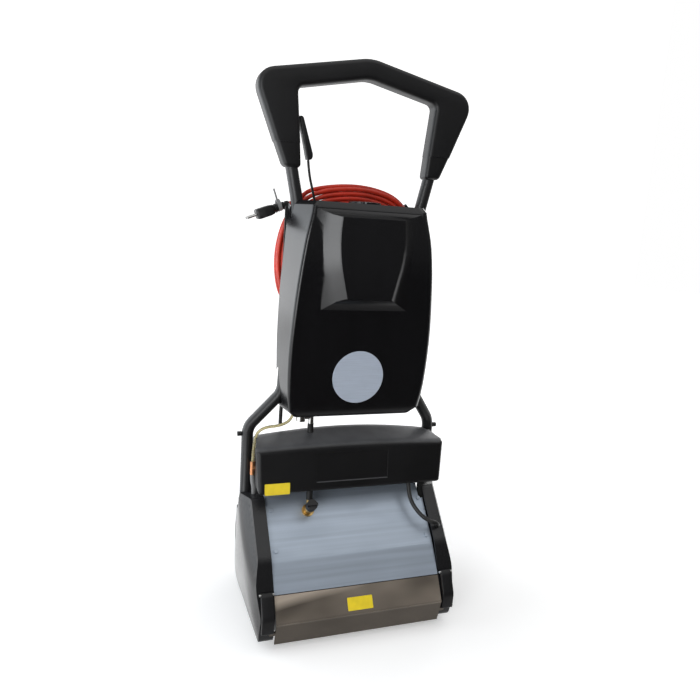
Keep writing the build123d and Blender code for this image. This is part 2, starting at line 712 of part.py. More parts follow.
def pivot_bushes():
    bush = rod_x((PIVOT_Y, PIVOT_Z), PIVOT_PIN_R + BUSH_WALL, *HUB_X)
    bush -= rod_x((PIVOT_Y, PIVOT_Z), PIVOT_PIN_R + RUN, HUB_X[0] - 1, HUB_X[1] + 1)
    return both(bush)


def pivot_pins():
    pin = rod_x((PIVOT_Y, PIVOT_Z), PIVOT_PIN_R, PLATE_IN, HUB_X[1])
    pin += rod_x((PIVOT_Y, PIVOT_Z), PIVOT_COLLAR_R, PLATE_IN + PLATE_T, HUB_X[0] - FACE_GAP)
    return both(pin)


BOLT_Z = 384.0
BOLT_R = 5.0
BOLT_HEAD = 9.0


def yoke_bolts():
    bolt = rod_x((PIVOT_Y, BOLT_Z), BOLT_R, TUBE_X + TUBE_R, TUBE_X + TUBE_R + BOLT_HEAD)
    return both(bolt)


def leg_inside(z):
    """The x of the grip's right leg on its inner side at a height."""
    return GRIP_LEG_IN[0] + (z - GRIP_LEG_IN[1]) * GRIP_LEG_SLOPE


def handle_grip():
    right = [GRIP_CORNER, GRIP_LEG_OUT, GRIP_LEG_IN, GRIP_INSIDE]
    left = [(-x, z, r) for x, z, r in right[::-1]]
    loop = [(0, *GRIP_CREST)] + right + [(0, *GRIP_ARCH)] + left
    half = GRIP_DEPTH / 2
    grip = prism_y([p[:2] for p in loop], -half, half, [p[2] for p in loop])
    rims = grip.faces().filter_by(Axis.Y).edges()
    grip = chamfer(rims, GRIP_EDGE / 2)
    bore = tube_along(tube_path(), TUBE_R + SLIP)
    grip -= bore + left_of(bore)
    x, z = SWITCH_AT
    w, h, _ = SWITCH_SIZE
    grip -= block(x - w / 2 - FACE_GAP, x + w / 2 + FACE_GAP, half - SWITCH_POCKET, half + 1,
                  z - h / 2 - 1, z + h / 2 + 1)
    grip -= switch_pin(RUN)
    px, pz = TRIGGER_PIVOT
    lug_y = TRIGGER_W / 2 + FACE_GAP
    for y0 in (lug_y, -lug_y - TRIGGER_LUG_T):
        grip += block(-leg_inside(pz) - 4, px, y0, y0 + TRIGGER_LUG_T, pz - TRIGGER_HUB_R, pz + TRIGGER_HUB_R)
        grip += rod_y(px, pz, TRIGGER_HUB_R, y0, y0 + TRIGGER_LUG_T)
    return grip + rod_y(px, pz, TRIGGER_PIN_R, -lug_y - TRIGGER_LUG_T, lug_y + TRIGGER_LUG_T)


def trigger_lever():
    px, pz = TRIGGER_PIVOT
    half = TRIGGER_W / 2
    blade = [(px - 4, pz), (px + TRIGGER_HUB_R, pz), TRIGGER_TIP,
             (TRIGGER_TIP[0] - 4, TRIGGER_HEEL[1]), TRIGGER_HEEL]
    lever = prism_y(blade, -half, half) + rod_y(px, pz, TRIGGER_HUB_R, -half, half)
    return lever - rod_y(px, pz, TRIGGER_PIN_R + RUN, -half - 1, half + 1)


def switch_pin(slack):
    """The rocker's pivot, or the hole for it."""
    radius, reach = SWITCH_PIN
    x, z = SWITCH_AT
    half = SWITCH_SIZE[0] / 2 + FACE_GAP + reach + slack
    return rod_x((GRIP_DEPTH / 2 - SWITCH_SIZE[2] / 2, z), radius + slack, x - half, x + half)


def power_switch():
    x, z = SWITCH_AT
    w, h, t = SWITCH_SIZE
    back = GRIP_DEPTH / 2 + 1
    rocker = block(x - w / 2, x + w / 2, back - t, back, z - h / 2, z + h / 2)
    dish = Pos(x, back + 44, z) * Rot(0, 90, 0) * Cylinder(46, w + 2)
    return rocker - dish + switch_pin(0)


def tank_section(z, back_half, front_half, front_y, inset):
    back_y = TANK_BACK_Y - inset
    points = [(-back_half + inset, back_y), (back_half - inset, back_y),
              (front_half - inset, front_y + inset), (-front_half + inset, front_y + inset)]
    back_r = max(TANK_BACK_R - inset, 2)
    front_r = TANK_FRONT_R - inset
    return outline_face([(x, y, z) for x, y in points], [back_r, back_r, front_r, front_r])


def tank_form(inset):
    sections = []
    for i, (z, back_half, front_half, front_y) in enumerate(TANK_SECTIONS):
        lift = inset if i == 0 else -inset if i == len(TANK_SECTIONS) - 1 else 0
        sections.append(tank_section(z + lift, back_half, front_half, front_y, inset))
    return loft(sections)


def without_tubes(form, grow):
    """A form less the room of both tubes, which is open at the back."""
    reach = TUBE_R + TANK_TUBE_GAP + grow
    line = [(x, z) for x, _, z in TUBE_POINTS[1:]]
    half = reach - TANK_SLOT_LESS
    band = beside(line, half) + beside(line, -half)[::-1]
    for cut in (tube_along(tube_path(), reach), prism_y(band, 0, TANK_BACK_Y + 30)):
        form = form - cut - left_of(cut)
    return form


def shield(inset):
    """The raised shield on the tank's front: a flat face on wide sloping flanks."""
    face = [SHIELD_TOP, SHIELD_WAIST, SHIELD_FOOT]
    rise = (SHIELD_TOP_FLANK, 0, -SHIELD_FLANK)
    rings = []
    for y, share in ((SHIELD_FACE_Y + inset, 0), (SHIELD_ROOT_Y + inset, 1)):
        right = [(x - inset + share * SHIELD_FLANK, z + share * up) for (x, z), up in zip(face, rise)]
        ring = right + [(-x, z) for x, z in right[::-1]]
        rings.append(outline_face([(x, y, z) for x, z in ring], 0))
    return loft(rings, ruled=True)


def water_tank():
    tank = without_tubes(tank_form(0) + shield(0), 0)
    room = without_tubes(tank_form(TANK_WALL) + shield(TANK_WALL), TANK_WALL)
    tank -= room.solids().sort_by(SortBy.VOLUME)[-1]
    foot, top = TANK_SECTIONS[0][0], TANK_SECTIONS[-1][0]
    tank -= rod_z(*CAP_AT, CAP_R, top - 3 * TANK_WALL, top + 1)
    return tank - rod_z(*VALVE_AT, VALVE_NECK_R, foot - 1, foot + 2 * TANK_WALL)


def tank_cap():
    top = TANK_SECTIONS[-1][0]
    cap = rod_z(*CAP_AT, CAP_R - FACE_GAP, top - CAP_DEEP, top + 1)
    return cap + rod_z(*CAP_AT, CAP_FLANGE_R, top + FACE_GAP, top + FACE_GAP + CAP_FLANGE_T)


def tank_front_at(z):
    """The y of the tank's front at a height, on straight lines between its sections."""
    for low, high in zip(TANK_SECTIONS, TANK_SECTIONS[1:]):
        if low[0] <= z <= high[0]:
            return low[3] + (high[3] - low[3]) * (z - low[0]) / (high[0] - low[0])
    return TANK_SECTIONS[0][3]


def badge_disc():
    """A bare round disc let into the tank's front."""
    face = rod_y(0, BADGE_Z, BADGE_R, tank_front_at(BADGE_Z) - 30, TANK_BACK_Y - 20)
    seat = Pos(0, -RUN, 0) * tank_form(0)
    skin = Pos(0, -BADGE_T, 0) * seat - seat
    return skin & face


VALVE_AT = (-104.0, -8.0)
VALVE_NECK_R = 7.0
VALVE_R = 10.0
VALVE_DROP = 18.0
VALVE_ARM_X = -82.0
VALVE_ARM_R = 6.0
VALVE_FOOT_Z = 412.0


def outlet_valve():
    x, y = VALVE_AT
    foot = TANK_SECTIONS[0][0]
    arm_z = foot - VALVE_DROP / 2
    valve = rod_z(x, y, VALVE_R, foot - VALVE_DROP, foot)
    valve += rod_z(x, y, VALVE_NECK_R, foot - 1, foot + 2 * TANK_WALL)
    arm = Pos((x + VALVE_ARM_X) / 2, y, arm_z) * Rot(0, 90, 0) * Cylinder(VALVE_ARM_R, VALVE_ARM_X - x)
    valve += arm + Pos(VALVE_ARM_X, y, arm_z) * Sphere(VALVE_ARM_R)
    return valve + rod_z(VALVE_ARM_X, y, VALVE_ARM_R, VALVE_FOOT_Z, arm_z)


# Cord, hooks and leads

def coil_node(k):
    """Where the coil's k-th quarter starts, and its direction there."""
    reach = COIL_CORNER_R - COIL_SIDE_R
    lift = COIL_SIDE_R - COIL_HALF
    centre = (-lift + math.sqrt(2 * reach**2 - lift**2)) / 2
    bend = math.atan2(centre, centre + lift)
    size = (COIL_HALF - COIL_PITCH / 4 * min(k, COIL_QUARTERS - k)) / COIL_HALF
    x, z = -COIL_SIDE_R * math.sin(bend) * size, (lift - COIL_SIDE_R * math.cos(bend)) * size
    tx, tz = math.cos(bend), -math.sin(bend)
    for _ in range(k % 4):
        x, z, tx, tz = -z, x, -tz, tx
    climb = min(max(k - (COIL_QUARTERS // 2 - 1), 0), 2) / 2
    slope = 0.045 if climb == 0.5 else 0.0
    place = Vector(x, COIL_Y + COIL_PITCH * climb, COIL_Z + z)
    return place, Vector(tx, slope, tz).normalized(), COIL_SIDE_R * math.tan(bend) * size


def biarc(k):
    """The k-th quarter's two arcs: along a side, then round a corner."""
    p0, t0, d1 = coil_node(k)
    p1, t1, _ = coil_node(k + 1)
    v = p1 - p0
    d2 = (v.dot(v) / 2 - d1 * v.dot(t0)) / (v.dot(t1) - d1 * (t0.dot(t1) - 1))
    a, b = p0 + t0 * d1, p1 - t1 * d2
    join = (a * d2 + b * d1) * (1 / (d1 + d2))
    return TangentArc(p0, join, tangent=t0), TangentArc(join, p1, tangent=(b - a).normalized())


def coil_wire():
    """The cord as it hangs: in towards the hooks, a layer back, and out again to the plug."""
    first, start_way, _ = coil_node(0)
    edges = [Line(first - start_way * CORD_LEAD_IN, first)]
    for k in range(COIL_QUARTERS):
        edges += biarc(k)
    edges.append(biarc(COIL_QUARTERS)[0])
    edges.append(Line(edges[-1] @ 1, edges[-1] @ 1 + (edges[-1] % 1) * CORD_TAIL))
    return Wire([e.edge() for e in edges])


def coil_self_gap(wire, per_edge=8):
    """The least gap between turns, measured from points on the wire to its chords."""
    points = [e @ (i / per_edge) for e in wire.edges() for i in range(per_edge)]
    least = 1e9
    skip = 12 * per_edge // 2
    for i, p in enumerate(points):
        for j in range(i + skip, len(points) - 1):
            a, b = points[j], points[j + 1]
            if abs(p.X - a.X) + abs(p.Z - a.Z) > 60:
                continue
            ab = b - a
            share = min(max((p - a).dot(ab) / ab.dot(ab), 0), 1)
            least = min(least, (p - a - ab * share).length)
    return least - CORD_D


def cord_coil(wire):
    radii = [e.radius for e in wire.edges() if e.geom_type == GeomType.CIRCLE]
    gap = coil_self_gap(wire)
    print(f"cord: length {wire.length:.0f}, least bend {min(radii):.0f}, self gap {gap:.2f}")
    return tube_along(wire, CORD_D / 2)


def plug_frame(wire):
    return Plane(origin=wire @ 1, x_dir=(0, 1, 0), z_dir=wire % 1)


def plug(wire):
    """The mains plug at the cord's end: a tapered neck, a body and two flat pins."""
    at = plug_frame(wire)
    neck_l, neck_r0, neck_r1 = PLUG_NECK
    body_l, body_w, body_t = PLUG_BODY
    pin_l, pin_t, pin_apart = PLUG_PIN
    neck = Pos(0, 0, neck_l / 2) * Cone(neck_r0, neck_r1, neck_l)
    body = Pos(0, 0, neck_l + body_l / 2) * Box(body_w, body_t, body_l)
    body = chamfer(body.edges(), 3)
    piece = neck + body
    for side in (-1, 1):
        piece += Pos(side * pin_apart / 2, 0, neck_l + body_l + pin_l / 2) * Cylinder(pin_t, pin_l)
    return at * piece


CLIP_R = 12.0
CLIP_W = 7.0
CLIP_TAIL = 22.0


def cord_clip(wire):
    """A grey clip round the plug's neck, with its loose tail."""
    at = plug_frame(wire)
    neck_l, neck_r0, neck_r1 = PLUG_NECK
    z = neck_l * 0.6
    inner = neck_r0 + (neck_r1 - neck_r0) * (z + CLIP_W / 2) / neck_l + SLIP
    ring = Pos(0, 0, z) * (Cylinder(CLIP_R, CLIP_W) - Cylinder(inner, CLIP_W + 2))
    tail = Pos(0, -CLIP_R - CLIP_TAIL / 2 + 1, z) * Rot(90, 0, 0) * Cylinder(1.8, CLIP_TAIL)
    return at * (ring + tail)


def box_frame(wire):
    return Plane(origin=wire @ 0, x_dir=(0, 1, 0), z_dir=wire % 0)


def cord_box(wire):
    """The box on the carrier plate where the cord goes in and the lead comes out."""
    long, tall = CORD_BOX
    deep = 2 * (COIL_Y - CARRIER_BACK)
    body = Pos(0, 0, -long / 2) * Box(deep, tall, long)
    return box_frame(wire) * body


def carrier_plate():
    z0, z1 = CARRIER_Z
    return block(-CARRIER_HALF, CARRIER_HALF, CARRIER_Y, CARRIER_BACK, z0, z1)


def innermost():
    return (COIL_HALF - COIL_PITCH / 4 * (COIL_QUARTERS // 2)) / COIL_HALF


def hook(x, z, dx, dz, length):
    """A hook: a post back from the plate and a lip along (dx, dz) behind the coil."""
    lip_y = COIL_BACK + 1
    post = rod_y(x, z, HOOK_POST_R, CARRIER_BACK, lip_y + HOOK_LIP_T)
    across = (-dz * HOOK_LIP_W / 2, dx * HOOK_LIP_W / 2)
    tip = (x + dx * length, z + dz * length)
    corners = [(x + across[0], z + across[1]), (tip[0] + across[0], tip[1] + across[1]),
               (tip[0] - across[0], tip[1] - across[1]), (x - across[0], z - across[1])]
    return post + prism_y(corners, lip_y, lip_y + HOOK_LIP_T)


def corner_middle():
    """Half the distance between the coil's corner centres, for the outermost turn."""
    reach = COIL_CORNER_R - COIL_SIDE_R
    lift = COIL_SIDE_R - COIL_HALF
    return (-lift + math.sqrt(2 * reach**2 - lift**2)) / 2


def cord_hooks():
    inner = innermost()
    slant = math.sqrt(0.5)
    seat = corner_middle() * inner
    seat += (COIL_CORNER_R * inner - CORD_D / 2 - HOOK_POST_R - FACE_GAP) * slant
    outer = corner_middle() + (COIL_CORNER_R + CORD_D / 2 + HOOK_REACH) * slant
    return both(hook(seat, COIL_Z + seat, slant, slant, (outer - seat) / slant))


def swivel_place():
    return COIL_Z - COIL_HALF * innermost() + CORD_D / 2 + HOOK_POST_R + FACE_GAP


def swivel_hook():
    length = COIL_HALF * (1 - innermost()) + CORD_D + HOOK_POST_R + HOOK_REACH
    return hook(0, swivel_place(), 0, -1, length)


LEAD_HOLE = (-134.0, 40.0)
LEAD_GLAND_R = 8.0
LEAD_GLAND_L = 26.0
TAP_X = -88.0
TAP_UP = 0.62
TAP_R = 9.0
TAP_OUT = 26.0
TAP_BARB_AT = 9.0
TAP_FLANGE_R = 13.0
TAP_BARB_R = 6.0
TAP_BARB_L = 22.0
KNOB_R = 11.0
KNOB_L = 14.0


def tap_frame():
    """The tap's place on the hood's slope, with Z standing out of the steel."""
    y, z = between(HOOD_BEND, HOOD_TOP, TAP_UP)
    run = math.dist(HOOD_BEND, HOOD_TOP)
    out = (0, -(HOOD_TOP[1] - HOOD_BEND[1]) / run, (HOOD_TOP[0] - HOOD_BEND[0]) / run)
    return Plane(origin=(TAP_X, y, z), x_dir=(1, 0, 0), z_dir=out)


def barb_foot():
    """The middle of the tap's body, where its hose barb stands up."""
    return tap_frame().from_local_coords(Vector(0, 0, TAP_BARB_AT))


def tap_elbow():
    at = tap_frame()
    tap = at * (Pos(0, 0, 2) * Cylinder(TAP_FLANGE_R, 4) + Pos(0, 0, TAP_OUT / 2) * Cylinder(TAP_R, TAP_OUT))
    foot = barb_foot()
    return tap + rod_z(foot.X, foot.Y, TAP_BARB_R, foot.Z, foot.Z + TAP_BARB_L)


def tap_knob():
    at = tap_frame()
    z = TAP_OUT + FACE_GAP
    knob = Pos(0, 0, z + KNOB_L / 2) * Cylinder(KNOB_R, KNOB_L)
    wing = Pos(0, 0, z + KNOB_L) * Box(2 * KNOB_R, 5, 8)
    return at * (knob + wing)


def spray_bar():
    """The bar over the rear brush, fed by a pipe from behind the tap."""
    bar = rod_x(SPRAY_BAR_AT, SPRAY_BAR_R, -PLATE_IN, PLATE_IN)
    inlet = tap_frame().from_local_coords(Vector(0, 0, -SHEET_T))
    way = tap_frame().z_dir * -1
    points = [inlet, inlet + way * 30, (TAP_X, SPRAY_BAR_AT[0], SPRAY_BAR_AT[1] + 40),
              (TAP_X, *SPRAY_BAR_AT)]
    return bar + tube_along(soft_path("feed pipe", [tuple(p) for p in points]), SPRAY_BAR_R - 1)


def solution_hose():
    foot = barb_foot()
    start = foot.Z + TAP_BARB_L
    top = VALVE_FOOT_Z
    y = VALVE_AT[1]
    points = [(TAP_X, foot.Y, start), (TAP_X, foot.Y, start + 30), (TAP_X + 3, foot.Y + 18, top - 82),
              (VALVE_ARM_X, y, top - 52), (VALVE_ARM_X, y, top)]
    return tube_along(soft_path("solution hose", points), HOSE_R)


def lead_foot():
    """The top of the boss on the motor cover where the power lead goes in."""
    return COVER_RIDGE[1] + LEAD_GLAND_L / 2


def power_lead(wire):
    frame = box_frame(wire)
    long, tall = CORD_BOX
    start = frame.from_local_coords(Vector(0, -tall / 2, -long / 2))
    if start.Z > frame.origin.Z + long:
        start = frame.from_local_coords(Vector(0, tall / 2, -long / 2))
    way = (start - frame.from_local_coords(Vector(0, 0, -long / 2))).normalized()
    x, y = LEAD_HOLE
    foot = lead_foot()
    points = [start, start + way * 40, (x - 6, COIL_Y + 1, 520), (x - 7, COIL_Y + 4, 465),
              (x, y, foot + 32), (x, y, foot)]
    return tube_along(soft_path("power lead", [tuple(p) for p in points]), LEAD_R)


FITTING_Y = 4.0
FITTING_Z = 318.0
FITTING_R = 6.0
FITTING_OUT = 10.0


def side_fitting():
    """The copper-coloured tee on the motor cover's left end."""
    x = -COVER_BACK_HALF
    tee = rod_x((FITTING_Y, FITTING_Z), FITTING_R, x - FITTING_OUT, x)
    return tee + rod_z(x - FITTING_OUT + 1, FITTING_Y, FITTING_R - 1, FITTING_Z - 14, FITTING_Z + 14)


def side_hose():
    x = -COVER_BACK_HALF - FITTING_OUT + 1
    top = FITTING_Z - 14
    foot = HOUSING_OUTLINE[0][1]
    points = [(x, FITTING_Y, top), (x, FITTING_Y, top - 14), (x + 4, FITTING_Y + 1, foot + 14),
              (x + 4, FITTING_Y + 1, foot)]
    return tube_along(soft_path("side hose", points), FITTING_R - 1.5)


def vent_tube():
    x = -COVER_BACK_HALF - FITTING_OUT + 1
    foot = FITTING_Z + 14
    tank_foot = TANK_SECTIONS[0][0]
    points = [(-120, -4, tank_foot), (-120, -4, tank_foot - 14), (-142, -4, tank_foot - 28),
              (x + 17, 0, 405), (x, FITTING_Y, 384), (x, FITTING_Y, foot)]
    return tube_along(soft_path("vent tube", points), VENT_R)


def pull_wire():
    """The wire from the trigger, down behind the tank and forward into the valve's back."""
    x = TRIGGER_HEEL[0] + 5
    top = TRIGGER_HEEL[1] - 2 * FACE_GAP
    y = CARRIER_BACK + WIRE_R + 1.5
    vx, vy = VALVE_AT
    foot = TANK_SECTIONS[0][0] - VALVE_DROP / 2
    points = [(x, 0, top), (x + 3, 1, top - 24), (x + 14, 9, top - 54), (x + 25, y, 850), (x + 29, y, 800),
              (x + 30.5, y, 740), (x + 31, y, 680), (x + 30, y, 620), (x + 28.5, y, 560), (x + 26, y, 505),
              (x + 18, y, 462), (vx, y, foot), (vx, vy + VALVE_R, foot)]
    return tube_along(soft_path("pull wire", points), WIRE_R)


def side_cable():
    """The black cable from under the motor cover to the right housing."""
    (y0, z0), (y1, z1) = HOUSING_OUTLINE[0], HOUSING_OUTLINE[1]
    y, z = between((y0, z0), (y1, z1), 0.75)
    run = math.dist((y0, z0), (y1, z1))
    out = (-(z0 - z1) / run, (y0 - y1) / run)
    x = HOUSING_X_FRONT - SIDE_CABLE_IN
    points = [(x - 58, -46, COVER_FRONT_FOOT[1] + 6), (x - 57, -50, 270), (x - 47, -66, 246), (x - 22, -94, 226),
              (x, y + 22 * out[0], z + 22 * out[1]), (x, y, z)]
    return tube_along(soft_path("side cable", points), SIDE_CABLE_R)


SCREW_R = 4.5
SCREW_HEAD = 2.5


def cover_screws():
    """Screw heads: four through the hood's ends and one in each end of the tray's lip."""
    heads = []
    run = math.dist(HOOD_BEND, HOOD_TOP)
    out = (0, -(HOOD_TOP[1] - HOOD_BEND[1]) / run, (HOOD_TOP[0] - HOOD_BEND[0]) / run)
    for share in (0.12, 0.66):
        y, z = between(HOOD_BEND, HOOD_TOP, share)
        at = Plane(origin=(PLATE_IN + PLATE_T / 2, y, z), x_dir=(1, 0, 0), z_dir=out)
        head = at * Pos(0, 0, SCREW_HEAD / 2) * Cylinder(SCREW_R, SCREW_HEAD)
        heads += [head, left_of(head)]
    return Part() + heads


os.makedirs("parts", exist_ok=True)

save("chassis_frame", chassis_frame())
save("shaft_bearings", shaft_bearings())
save("drive_belt", drive_belt())
save("belt_tensioner", belt_tensioner())
save("motor", motor())
save("motor_shaft", motor_shaft())
save("motor_pulley", pulley(MOTOR_AXIS, MOTOR_PULLEY_R, MOTOR_SHAFT_R))
for end, axis in (("front", FRONT_AXIS), ("rear", REAR_AXIS)):
    save(f"{end}_brush", brush(axis))
    save(f"{end}_brush_shaft", shaft(axis))
    save(f"{end}_brush_pulley", pulley(axis, BRUSH_PULLEY_R, SHAFT_R))
save("pickup_drum", pickup_drum())
save("drum_pulley", pulley(DRUM_AXIS, DRUM_PULLEY_R, SHAFT_R))
for side, x in (("left", -WHEEL_X), ("right", WHEEL_X)):
    save(f"{side}_wheel", wheel(x))
    save(f"{side}_tyre", tyre(x))
save("wheel_axle", wheel_axle())
save("front_hood", front_hood())
save("rear_cover", rear_cover())
save("motor_cover", motor_cover())
housing = right_housing()
save("right_housing", housing - belt_room())
save("left_housing", left_of(housing))
lever = latch()
save("right_latch", lever)
save("left_latch", left_of(lever))
save("latch_pins", latch_pins())
save("recovery_tray", recovery_tray())
save("scraper_blade", scraper_blade())
save("spray_bar", spray_bar())
save("tap_elbow", tap_elbow())
save("tap_knob", tap_knob())
save("cover_screws", cover_screws())
save("side_cable", side_cable())
save("side_fitting", side_fitting())
save("side_hose", side_hose())

tube = right_tube()
save("right_tube", tube)
save("left_tube", left_of(tube))
save("pivot_bushes", pivot_bushes())
save("pivot_pins", pivot_pins())
save("yoke_bolts", yoke_bolts())
save("handle_grip", handle_grip())
save("trigger_lever", trigger_lever())
save("power_switch", power_switch())
save("water_tank", water_tank())
save("tank_cap", tank_cap())
save("badge_disc", badge_disc())
save("outlet_valve", outlet_valve())
save("carrier_plate", carrier_plate())
save("cord_hooks", cord_hooks())
save("swivel_hook", swivel_hook())

cord = coil_wire()
save("cord_coil", cord_coil(cord))
save("plug", plug(cord))
save("cord_clip", cord_clip(cord))
save("cord_box", cord_box(cord))
save("power_lead", power_lead(cord))
save("solution_hose", solution_hose())
save("vent_tube", vent_tube())
save("pull_wire", pull_wire())
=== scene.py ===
"""Floor scrubber: its looks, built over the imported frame.

The script is an add-on with one operator for each group of pieces and one for the stage. Places on the
machine are written in the part's own millimetres and axes, and mm() turns them into the frame's metres.
Roundings and the stage are in metres.
"""

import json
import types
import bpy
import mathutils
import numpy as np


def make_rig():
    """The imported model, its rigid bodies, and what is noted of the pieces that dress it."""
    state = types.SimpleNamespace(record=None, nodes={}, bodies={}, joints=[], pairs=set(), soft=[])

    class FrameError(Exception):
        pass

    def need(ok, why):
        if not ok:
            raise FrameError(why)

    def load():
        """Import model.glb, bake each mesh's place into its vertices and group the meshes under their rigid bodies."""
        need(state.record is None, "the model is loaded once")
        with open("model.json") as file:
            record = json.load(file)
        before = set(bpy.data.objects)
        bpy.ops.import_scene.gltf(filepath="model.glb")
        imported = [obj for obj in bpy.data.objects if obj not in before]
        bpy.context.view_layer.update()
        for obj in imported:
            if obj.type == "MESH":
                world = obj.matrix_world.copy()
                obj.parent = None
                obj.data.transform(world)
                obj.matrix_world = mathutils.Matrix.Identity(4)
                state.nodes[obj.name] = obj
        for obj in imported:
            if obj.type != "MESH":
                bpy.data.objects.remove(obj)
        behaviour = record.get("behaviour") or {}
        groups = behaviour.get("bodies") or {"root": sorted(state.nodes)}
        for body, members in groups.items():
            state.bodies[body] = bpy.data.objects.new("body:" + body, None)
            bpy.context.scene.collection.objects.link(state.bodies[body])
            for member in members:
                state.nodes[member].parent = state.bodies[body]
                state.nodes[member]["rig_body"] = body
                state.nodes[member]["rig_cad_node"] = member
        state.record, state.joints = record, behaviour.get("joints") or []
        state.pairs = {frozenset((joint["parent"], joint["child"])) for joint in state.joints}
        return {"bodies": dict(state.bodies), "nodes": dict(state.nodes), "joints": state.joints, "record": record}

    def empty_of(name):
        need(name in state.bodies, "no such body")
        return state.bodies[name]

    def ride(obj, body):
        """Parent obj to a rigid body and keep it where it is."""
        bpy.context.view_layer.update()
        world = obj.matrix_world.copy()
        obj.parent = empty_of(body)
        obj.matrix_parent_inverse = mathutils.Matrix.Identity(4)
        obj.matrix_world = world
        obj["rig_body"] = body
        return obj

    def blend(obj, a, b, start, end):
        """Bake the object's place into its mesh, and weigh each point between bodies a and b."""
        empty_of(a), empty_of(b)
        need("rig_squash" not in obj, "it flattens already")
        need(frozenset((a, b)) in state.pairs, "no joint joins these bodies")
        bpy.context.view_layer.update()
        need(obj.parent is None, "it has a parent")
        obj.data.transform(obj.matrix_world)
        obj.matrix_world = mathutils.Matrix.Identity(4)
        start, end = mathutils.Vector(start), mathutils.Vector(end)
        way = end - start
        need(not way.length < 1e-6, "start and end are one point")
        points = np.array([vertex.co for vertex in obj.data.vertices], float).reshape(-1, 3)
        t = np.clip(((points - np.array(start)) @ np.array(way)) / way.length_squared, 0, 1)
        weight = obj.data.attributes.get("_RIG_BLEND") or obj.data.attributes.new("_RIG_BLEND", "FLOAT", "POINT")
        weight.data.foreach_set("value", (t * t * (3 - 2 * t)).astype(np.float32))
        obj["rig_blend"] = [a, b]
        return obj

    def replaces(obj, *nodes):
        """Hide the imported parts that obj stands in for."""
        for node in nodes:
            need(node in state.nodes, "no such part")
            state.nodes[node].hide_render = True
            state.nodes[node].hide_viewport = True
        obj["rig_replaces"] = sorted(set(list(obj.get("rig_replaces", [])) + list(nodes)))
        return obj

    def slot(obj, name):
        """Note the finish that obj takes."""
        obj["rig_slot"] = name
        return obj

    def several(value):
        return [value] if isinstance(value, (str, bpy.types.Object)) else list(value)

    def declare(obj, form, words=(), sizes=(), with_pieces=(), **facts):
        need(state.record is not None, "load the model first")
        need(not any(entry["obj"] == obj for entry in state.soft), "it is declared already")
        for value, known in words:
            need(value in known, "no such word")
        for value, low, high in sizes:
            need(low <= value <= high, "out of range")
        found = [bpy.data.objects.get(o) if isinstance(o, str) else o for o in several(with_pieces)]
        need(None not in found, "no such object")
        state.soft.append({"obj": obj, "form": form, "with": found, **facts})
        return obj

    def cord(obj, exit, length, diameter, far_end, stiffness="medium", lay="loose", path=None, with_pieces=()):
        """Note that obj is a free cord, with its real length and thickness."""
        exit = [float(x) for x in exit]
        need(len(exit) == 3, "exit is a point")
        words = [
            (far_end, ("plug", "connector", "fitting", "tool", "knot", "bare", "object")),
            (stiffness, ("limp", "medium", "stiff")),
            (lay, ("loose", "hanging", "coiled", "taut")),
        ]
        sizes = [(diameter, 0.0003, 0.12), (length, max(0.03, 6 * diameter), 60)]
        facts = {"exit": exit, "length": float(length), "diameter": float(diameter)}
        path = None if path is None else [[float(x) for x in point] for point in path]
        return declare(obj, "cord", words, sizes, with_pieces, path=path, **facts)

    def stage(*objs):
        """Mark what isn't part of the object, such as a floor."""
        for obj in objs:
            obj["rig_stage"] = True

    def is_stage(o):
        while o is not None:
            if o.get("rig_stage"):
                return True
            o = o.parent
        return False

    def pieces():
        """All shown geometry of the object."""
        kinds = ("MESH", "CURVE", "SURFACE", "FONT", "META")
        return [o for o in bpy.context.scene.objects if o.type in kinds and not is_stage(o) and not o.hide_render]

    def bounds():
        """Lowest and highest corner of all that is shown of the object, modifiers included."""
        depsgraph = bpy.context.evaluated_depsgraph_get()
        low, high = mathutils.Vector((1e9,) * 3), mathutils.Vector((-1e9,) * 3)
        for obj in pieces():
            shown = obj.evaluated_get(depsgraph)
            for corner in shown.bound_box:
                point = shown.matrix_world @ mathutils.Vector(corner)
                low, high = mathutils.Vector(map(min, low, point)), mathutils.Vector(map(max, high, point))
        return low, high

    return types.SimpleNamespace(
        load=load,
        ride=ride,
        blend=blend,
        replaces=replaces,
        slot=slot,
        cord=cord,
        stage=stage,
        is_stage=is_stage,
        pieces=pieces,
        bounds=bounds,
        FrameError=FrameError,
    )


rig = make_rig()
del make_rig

bl_info = {
    "name": "Floor scrubber",
    "version": (1, 0, 0),
    "blender": (4, 5, 0),
    "location": "View3D > Sidebar > Scrubber",
    "description": "Builds the looks of an upright floor scrubber over its frame",
    "category": "Object",
}

import functools
import json
import math
import sys

import bmesh
import bpy
from bpy.props import FloatProperty, FloatVectorProperty, IntProperty, PointerProperty
from mathutils import Matrix, Vector

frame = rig.load()
CAD_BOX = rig.bounds()
BODY_OF = {node: body for body, nodes in frame["record"]["behaviour"]["bodies"].items() for node in nodes}
SLOT_OF = {part["node"]: part["material_slot"] for part in frame["record"]["subparts"]}

# Places and sizes that several pieces share, in the part's millimetres and degrees
FRAME_SHIFT = -25.0
SIDES = (("left", -1), ("right", 1))
PIVOT, TILT = (30.0, 145.0), 55.0
TUBE_R, TUBE_X = 12.0, 205.0
RIM_X = 176.0
HOOD_LINE = ((-134.0, 110.0), (-100.0, 163.0), (-2.0, 278.0))
TRAY_CREASE = (-161.0, 63.0)
HOUSING_OUTLINE = ((-24, 262), (-106, 170), (-153, 72), (-141, 15), (122, 15), (122, 190), (52, 262))


def mm(x, y, z):
    """A place in the part's millimetres, in the frame's metres."""
    return Vector((x, y + FRAME_SHIFT, z)) / 1000


def share_of(a, b, share):
    """The place at a share of the way from one place to another."""
    return tuple(u + (v - u) * share for u, v in zip(a, b))


def placed(origin, x, y, z):
    """A frame at a place, from its three directions."""
    return Matrix.Translation(origin) @ Matrix((x, y, z)).transposed().to_4x4()


# Settings

